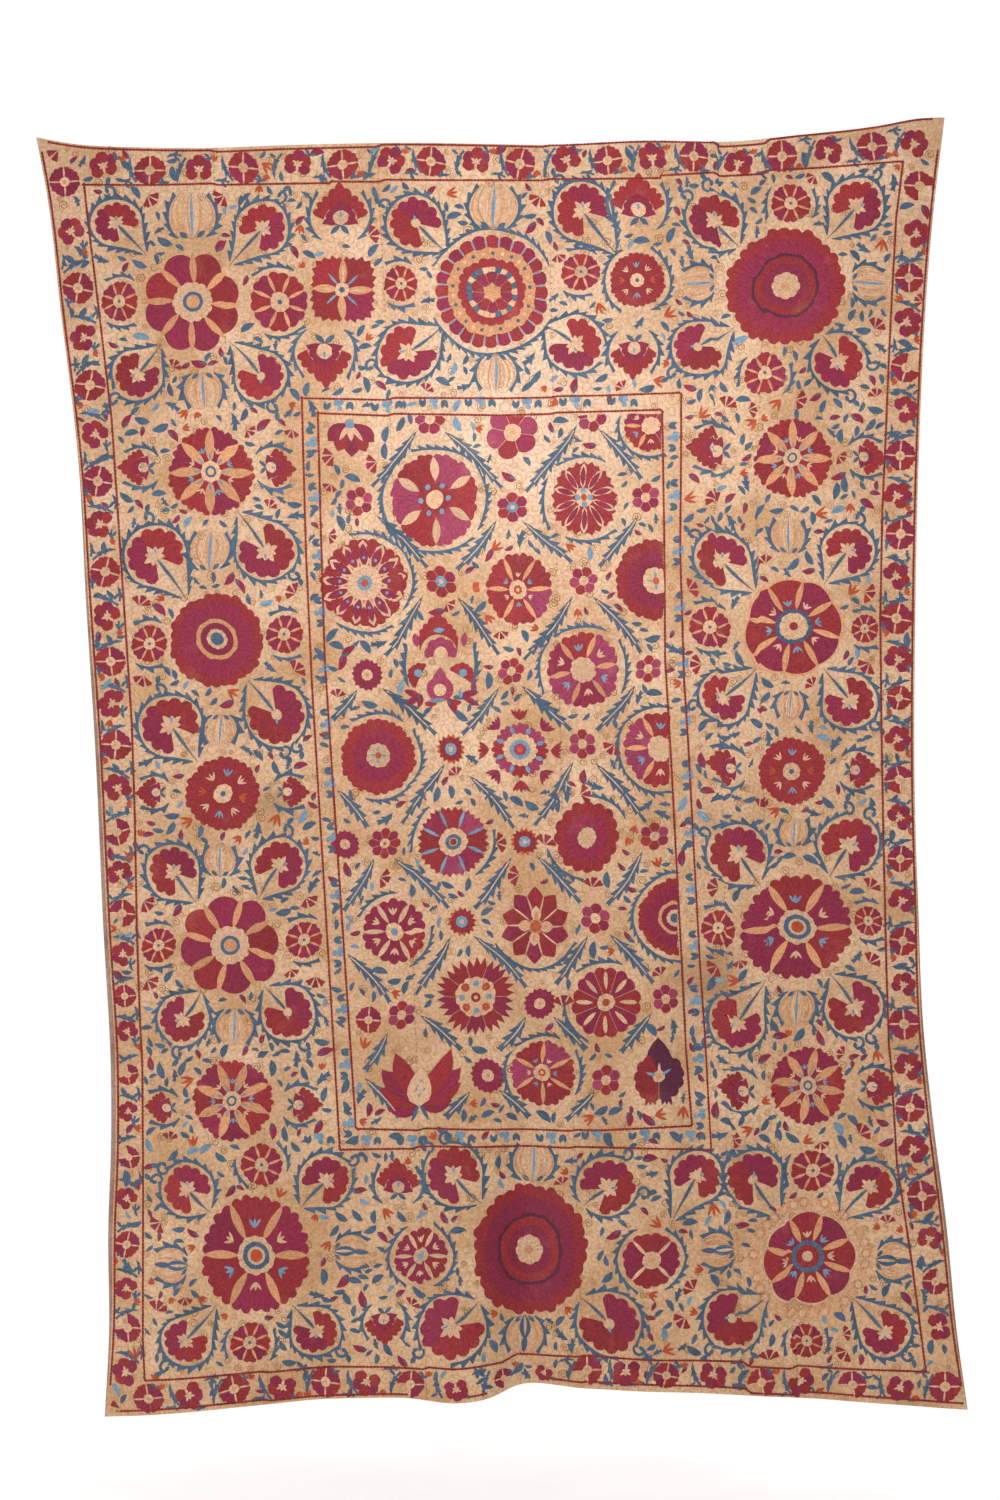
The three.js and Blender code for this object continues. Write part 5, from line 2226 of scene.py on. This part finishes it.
@dataclass
class FieldSprigs(Sewing):
    """Small fans, leaves and sprigs scattered where the cloth is still bare."""

    tries: int = 30000
    most: int = 1250
    # Pixels between which a place is drawn, across and down
    area: tuple[Pair, Pair] = ((62, 945), (150, 1400))
    # Room and least and most length of the large third and of the rest, and room to cloth edges
    large: tuple[float, float, float] = (12.0, 27.0, 36.0)
    small: tuple[float, float, float] = (7.5, 17.0, 24.0)
    edge_gap: float = 12.0
    # Shares, each added to those before, of blue leaves, saw-edged ones, pale ones, orange buds and
    # two-coloured leaves; the rest are fans
    shares: tuple[float, ...] = (0.50, 0.64, 0.70, 0.79, 0.94)

    def sprig(self, point: Array, angle: float, length: float, large: bool) -> None:
        """Works one small thing, picked by chance.

        Args:
            point: Its middle.
            angle: The way it points, in radians.
            length: Its length.
            large: Whether it may be a fan.
        """
        needle = self.needle
        plain, sawn, pale, buds, two_coloured = self.shares
        foot, tip = polar(point, length / 2, angle + math.pi), polar(point, length / 2, angle)
        pick = needle.rng.random()
        if pick < plain:
            needle.lay(BLUE, leaf(foot, tip, 0.42 * length, 0.1, 0.9))
        elif pick < sawn:
            needle.lay(BLUE, leaf(foot, tip, 0.55 * length, 0.1, 1.0, 3))
        elif pick < pale:
            needle.lay(SKY, leaf(foot, tip, 0.40 * length, 0.1, 0.9))
        elif pick < buds:
            needle.spray(ORANGE, foot, 0.8 * length, angle, (-0.5, 0.0, 0.5), 5.6)
        elif pick < two_coloured or not large:
            needle.lay(MAGENTA, leaf(foot, tip, 0.46 * length, 0.1, 0.8))
            needle.lay(BLUE, leaf(foot, point, 4.0), 0.9)
        else:
            self.fan(point, angle, 13)

    def build(self) -> None:
        """Works the fans at the listed places, and the rest by chance into bare cloth."""
        rng = self.needle.rng
        for px, py in SMALL_FANS:
            self.fan(spot(px, py), rng.uniform(0, 2 * math.pi))
        placed = 0
        for _ in range(self.tries):
            point = spot(rng.uniform(*self.area[0]), rng.uniform(*self.area[1]))
            if placed >= self.most:
                break
            large = placed < self.most / 3
            room, least, most = self.large if large else self.small
            if (edge_room(point) < self.edge_gap or near_guard(point) < room + 3
                    or not self.needle.is_free(point, room)):
                continue
            angle = rng.uniform(0, 2 * math.pi)
            self.sprig(point, angle, rng.uniform(least, most), large)
            self.needle.claim(point, room)
            placed += 1
        log.info("small sprigs: %d", placed)


def near_guard(point: Array) -> float:
    """Measures how near a guard line runs.

    Args:
        point: The place to measure from.

    Returns:
        Distance to the nearest guard line, in mm.
    """
    nearest = []
    for ends in GUARD_LINES:
        start, run = ends[:-1], np.diff(ends, axis=0)
        share = np.clip(((point - start) * run).sum(1) / ((run ** 2).sum(1) + 1e-9), 0, 1)
        nearest.append(np.linalg.norm(start + run * share[:, None] - point, axis=1).min())
    return float(min(nearest))


STITCH_INPUTS = {"Guide": "Geometry", "Stitch": "Object", "Spacing": "Float", "Least size": "Float",
                 "Most size": "Float", "Seed": "Int"}


def stitch_tree(material: Material, follows_line: bool) -> Tree:
    """Builds the tree that sets stitches along lines, or at points.

    Args:
        material: The stitches' silk.
        follows_line: Whether the guide is lines rather than points.

    Returns:
        The tree, with named inputs for its sizes.
    """
    tree = bpy.data.node_groups.new("stitches_in_silk", "GeometryNodeTree")
    for name, kind in STITCH_INPUTS.items():
        tree.interface.new_socket(name=name, in_out="INPUT", socket_type=f"NodeSocket{kind}")
    tree.interface.new_socket(name="Stitches", in_out="OUTPUT", socket_type="NodeSocketGeometry")
    given = add_node(tree, "NodeGroupInput").outputs
    stitch = add_node(tree, "GeometryNodeObjectInfo", {"Object": given["Stitch"]})
    facing = add_node(tree, "GeometryNodeInputNamedAttribute", {"Name": "facing"},
                      data_type="FLOAT_VECTOR").outputs["Attribute"]
    if follows_line:
        curve = add_node(tree, "GeometryNodeMeshToCurve", {"Mesh": given["Guide"]}).outputs["Curve"]
        points = add_node(tree, "GeometryNodeCurveToPoints",
                          {"Curve": curve, "Length": given["Spacing"]}, mode="LENGTH")
        along = add_node(tree, "FunctionNodeAlignRotationToVector",
                         {"Vector": points.outputs["Tangent"]}, axis="X").outputs["Rotation"]
        turned = add_node(tree, "FunctionNodeAlignRotationToVector",
                          {"Rotation": along, "Vector": facing}, axis="Z", pivot_axis="X")
    else:
        points = add_node(tree, "GeometryNodeMeshToPoints", {"Mesh": given["Guide"]})
        upright = add_node(tree, "FunctionNodeAlignRotationToVector", {"Vector": facing},
                           axis="Z").outputs["Rotation"]
        angle = add_node(tree, "FunctionNodeRandomValue", {"Max": 2 * math.pi, "Seed": given["Seed"]},
                         data_type="FLOAT").outputs[1]
        spin = add_node(tree, "FunctionNodeAxisAngleToRotation",
                        {"Axis": (0.0, 0.0, 1.0), "Angle": angle}).outputs["Rotation"]
        turned = add_node(tree, "FunctionNodeRotateRotation",
                          {"Rotation": upright, "Rotate By": spin}, rotation_space="LOCAL")
    # The numbers are the float sockets for the least and the most
    size = add_node(tree, "FunctionNodeRandomValue", {"Seed": given["Seed"], 2: given["Least size"],
                    3: given["Most size"]}, data_type="FLOAT").outputs[1]
    placed = add_node(tree, "GeometryNodeInstanceOnPoints",
                      {"Points": points.outputs[0], "Instance": stitch.outputs["Geometry"],
                       "Rotation": turned.outputs["Rotation"], "Scale": size})
    real = add_node(tree, "GeometryNodeRealizeInstances", {"Geometry": placed.outputs[0]})
    dressed = add_node(tree, "GeometryNodeSetMaterial",
                       {"Material": material, "Geometry": real.outputs[0]})
    add_node(tree, "NodeGroupOutput", {"Stitches": dressed.outputs[0]})
    return tree


@dataclass
class RowOfStitches:
    """Stitches of one kind, set by Geometry Nodes along lines or at points of the cloth."""

    name: str
    silk: ChainFloss
    slot_name: str
    spacing_mm: float
    sizes: Pair = (0.9, 1.1)
    height_mm: float = 0.5
    slips: bool = False
    seed: int = 3

    def guide(self, lines: list[Array]) -> Piece:
        """Lays the guide lines or points on the cloth.

        Args:
            lines: Points of each line, in flat mm; a line of one point is a loose point.

        Returns:
            An object of vertices and edges that carries the cloth's facing.
        """
        flat = np.concatenate(lines)
        flat[:, 1] += slip(flat[:, 0], flat[:, 1]) * self.slips
        places = place_on_cloth(flat[:, 0], flat[:, 1], np.full(len(flat), self.height_mm))
        edges, start = [], 0
        for line in lines:
            edges += [(start + k, start + k + 1) for k in range(len(line) - 1)]
            start += len(line)
        guide = plain_object(self.name, places.tolist(), [], edges)
        facing = guide.data.attributes.new("facing", "FLOAT_VECTOR", "POINT")
        facing.data.foreach_set("vector", face_direction(flat[:, 0], flat[:, 1]).ravel())
        return guide

    def build(self, lines: list[Array], stitch: Piece) -> None:
        """Sets the stitches and makes them one plain mesh.

        Args:
            lines: Points of each line, in flat mm.
            stitch: The stitch to repeat; it is removed at the end.
        """
        material, guide = self.silk.build(), self.guide(lines)
        modifier = guide.modifiers.new("stitches", "NODES")
        modifier.node_group = stitch_tree(material, any(len(line) > 1 for line in lines))
        wanted = {"Stitch": stitch, "Spacing": self.spacing_mm * MM, "Least size": self.sizes[0],
                  "Most size": self.sizes[1], "Seed": self.seed}
        for item in modifier.node_group.interface.items_tree:
            if item.item_type == "SOCKET" and item.in_out == "INPUT" and item.name in wanted:
                modifier[item.identifier] = wanted[item.name]
        guide.update_tag()
        view = bpy.context.evaluated_depsgraph_get()
        view.update()
        mesh = bpy.data.meshes.new_from_object(guide.evaluated_get(view))
        mesh.name = self.name
        guide.modifiers.remove(modifier)
        guide.data = mesh
        bpy.data.objects.remove(stitch)
        dress(guide, material)


def link_stitch(length: float, width: float, height: float) -> Piece:
    """Makes one chain link: a drop-shaped pad with a dent along its middle.

    Args:
        length: Its length in mm.
        width: Its width in mm.
        height: Its height in mm.

    Returns:
        The link, along X with its top towards Z.
    """
    shares = [(-0.5, 0.25), (-0.2, 0.85), (0.2, 1.0), (0.5, 0.45)]
    ring = [(-0.5, -0.4), (-0.42, 0.35), (0.0, 0.22), (0.42, 0.35), (0.5, -0.4)]
    places = [(length * u * MM, width * v * wide * MM, height * w * MM)
              for u, wide in shares for v, w in ring]
    count, last = len(ring), len(ring) * (len(shares) - 1)
    faces = [(start + k, start + k + count, start + after + count, start + after)
             for start in range(0, last, count)
             for k, after in enumerate([*range(1, count), 0])]
    faces += [tuple(range(count)), tuple(reversed(range(last, last + count)))]
    link = plain_object("chain_link", places, faces)
    link.data.polygons.foreach_set("use_smooth", [True] * len(faces))
    return link


def curl_stitch(radius: float, turns: float, width: float, height: float, steps: int = 12,
                sunk: float = -0.4) -> Piece:
    """Makes one spiral curl of laid silk.

    Args:
        radius: Its outer radius in mm.
        turns: Its number of turns.
        width: Width of the line in mm.
        height: Height of the line in mm.
        steps: Points along the line.
        sunk: Height of its two edges in mm.

    Returns:
        The curl, lying flat with its top towards Z.
    """
    share = np.linspace(0, 1, steps)
    angle = share * turns * 2 * math.pi
    reach = radius * (0.14 + 0.86 * share)
    line = np.stack([reach * np.cos(angle), reach * np.sin(angle)], -1)
    half = 0.5 * width * np.sin(np.pi * (0.12 + 0.82 * share))[:, None]
    side = sides_of(line)[1] * half
    places = [(*(row * MM), lift * MM) for rows in zip(line + side, line, line - side)
              for row, lift in zip(rows, (sunk, height, sunk))]
    faces = [(a + one, a + two, a + 3 + two, a + 3 + one)
             for a in range(0, 3 * steps - 3, 3) for one, two in ((0, 1), (1, 2), (2, 0))]
    ends = [(0, 2, 1), (3 * steps - 3, 3 * steps - 2, 3 * steps - 1)]
    return plain_object("ground_curl", places, faces + ends)


@dataclass
class LineWork(Sewing):
    """Guard lines, seam stitches and ground curls."""

    curls: int = 1700
    curl_radius: float = 11.0
    curl_room: float = 16.0
    curl_heights: Pair = (-2470.0, -10.0)
    # Distance of the edge's guard line from the edge, and of the seams' ends from it
    inset: float = 5.0
    seam_inset: float = 7.0
    step: float = 12.0
    # The hem's guard line shows between these points of it
    hem_parts: tuple[tuple[int, int], ...] = ((0, 52), (60, 66), (76, 150))
    # First and last place in mm, and number of points, along the sides, the top, the hem and seams
    side_run: tuple[float, float, int] = (-20, -2480, 220)
    top_run: tuple[float, float, int] = (-880, 880, 160)
    hem_run: tuple[float, float, int] = (-745, 940, 150)
    seam_run: tuple[float, float, int] = (40, -2540, 240)

    def fine(self, path: Array) -> Array:
        """Puts more points on a line and keeps its corners.

        Args:
            path: The line's corners.

        Returns:
            The line.
        """
        pieces = []
        for one, two in zip(path, path[1:]):
            steps = max(int(np.linalg.norm(two - one) / self.step), 1)
            pieces.append(one + (two - one) * (np.arange(steps) / steps)[:, None])
        return np.concatenate([*pieces, path[-1:]])

    def outlines(self) -> list[Array]:
        """Draws the guard lines, with the one along the cloth's edge.

        Returns:
            Points of each line, in flat mm.
        """
        z, x, low = (np.linspace(*run) for run in (self.side_run, self.top_run, self.hem_run))
        hem = np.stack([low, read_table(HEM, low) + 2 * self.inset], -1)
        return [*(self.fine(path) for path in GUARD_LINES),
                np.stack([read_table(LEFT_EDGE, z) + self.inset, z], -1),
                np.stack([read_table(RIGHT_EDGE, z) - self.inset, z], -1),
                np.stack([x, read_table(TOP_EDGE, x) - self.inset], -1),
                *(hem[first:last] for first, last in self.hem_parts)]

    def seams(self) -> list[Array]:
        """Draws the seams between strips.

        Returns:
            Points of each seam, in flat mm.
        """
        lines = []
        z = np.linspace(*self.seam_run)
        for seam in SEAMS:
            x = read_table(seam, z)
            kept = z < read_table(TOP_EDGE, x) - self.seam_inset
            kept &= z > read_table(HEM, x) + self.seam_inset
            lines.append(np.stack([x, z], -1)[kept])
        return lines

    def build(self) -> None:
        """Sets all the line work on the cloth."""
        guard = RowOfStitches("guard_lines", GUARD_RED, "silk_crimson", spacing_mm=7.0, slips=True)
        guard.build(self.outlines(), link_stitch(length=9.0, width=4.6, height=1.5))
        seam = RowOfStitches("seam_stitches", SEAM_THREAD, "ground_cotton", spacing_mm=11.0,
                             sizes=(0.7, 1.1), height_mm=0.15)
        seam.build(self.seams(), link_stitch(length=1.6, width=7.0, height=0.7))
        points = []
        for _ in range(self.curls):
            z = self.needle.rng.uniform(*self.curl_heights)
            left, right = (float(read_table(side, np.array(z))) for side in (LEFT_EDGE, RIGHT_EDGE))
            x = self.needle.rng.uniform(left + self.curl_room, right - self.curl_room)
            points.append(np.array([[x, z]]))
        curls = RowOfStitches("ground_curls", CURL_TAN, "silk_pale", spacing_mm=1.0,
                              sizes=(0.55, 1.1), height_mm=0.1)
        curls.build(points, curl_stitch(self.curl_radius, turns=1.8, width=3.3, height=0.5))


@dataclass
class Studio:
    """Camera, floor and soft white light."""

    lens: float = 85.0
    distance: float = 7.083
    aim: Pair = (0.020, -1.212)
    # Half the floor's width, its front and back edge, and its height
    floor_box: tuple[float, float, float, float] = (4.0, -7.5, 1.2, -2.78)
    # Name, place, target, side in metres and power in watts
    lamps: tuple = (("key_light", (0.06, -1.0, -0.5), (0.04, 0.0, -0.60), 0.5, 8.0),
                    ("side_light", (-2.4, -2.6, -2.3), (0.1, 0.0, -1.9), 1.2, 26.0),
                    ("back_light", (1.0, 4.0, -0.4), (0.0, 0.0, -1.2), 2.5, 60.0))

    def camera(self) -> None:
        """Sets the camera where the photograph was taken from."""
        camera = linked("camera", bpy.data.cameras.new("camera"))
        camera.data.lens = self.lens
        camera.location = (self.aim[0], -self.distance, self.aim[1])
        camera.rotation_euler = (math.radians(90), 0.0, 0.0)
        bpy.context.scene.camera = camera

    def floor(self) -> None:
        """Lays a pale floor below the hem."""
        half, front, back, z = self.floor_box
        places = [(-half, front, z), (half, front, z), (half, back, z), (-half, back, z)]
        floor = plain_object("floor", places, [(0, 1, 2, 3)])
        material, tree, shader = new_material("white studio floor")
        tone = noise(tree, add_node(tree, "ShaderNodeTexCoord").outputs["Object"], 3.0)
        colour = ramp(tree, tone, [(0.3, grey(0.93)), (0.7, grey(0.97))])
        tree.links.new(colour, shader.inputs["Base Color"])
        shader.inputs["Roughness"].default_value = 0.9
        floor.data.materials.append(material)

    def build(self) -> None:
        """Sets the stage."""
        scene = bpy.context.scene
        scene.view_settings.view_transform = "Standard"
        scene.world = bpy.data.worlds.new("white room")
        scene.world.use_nodes = True
        background = scene.world.node_tree.nodes["Background"].inputs
        background["Color"].default_value = grey(1.0)
        background["Strength"].default_value = 1.0
        self.camera()
        self.floor()
        for name, place, target, size, power in self.lamps:
            lamp = linked(name, bpy.data.lights.new(name, "AREA"))
            lamp.data.size = size
            lamp.data.energy = power
            lamp.location = place
            way = Vector(target) - Vector(place)
            lamp.rotation_euler = way.to_track_quat("-Z", "Y").to_euler()


def main() -> None:
    """Builds the hanging and its stage."""
    Studio().build()
    Cloths().build()
    needle = Needlework()
    for part in (CentreField, MainBorder, OuterBorder, FieldSprigs, LineWork):
        part(needle).build()
    for dye in Dye:
        needle.drape(dye)
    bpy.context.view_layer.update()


if __name__ == "__main__":
    main()
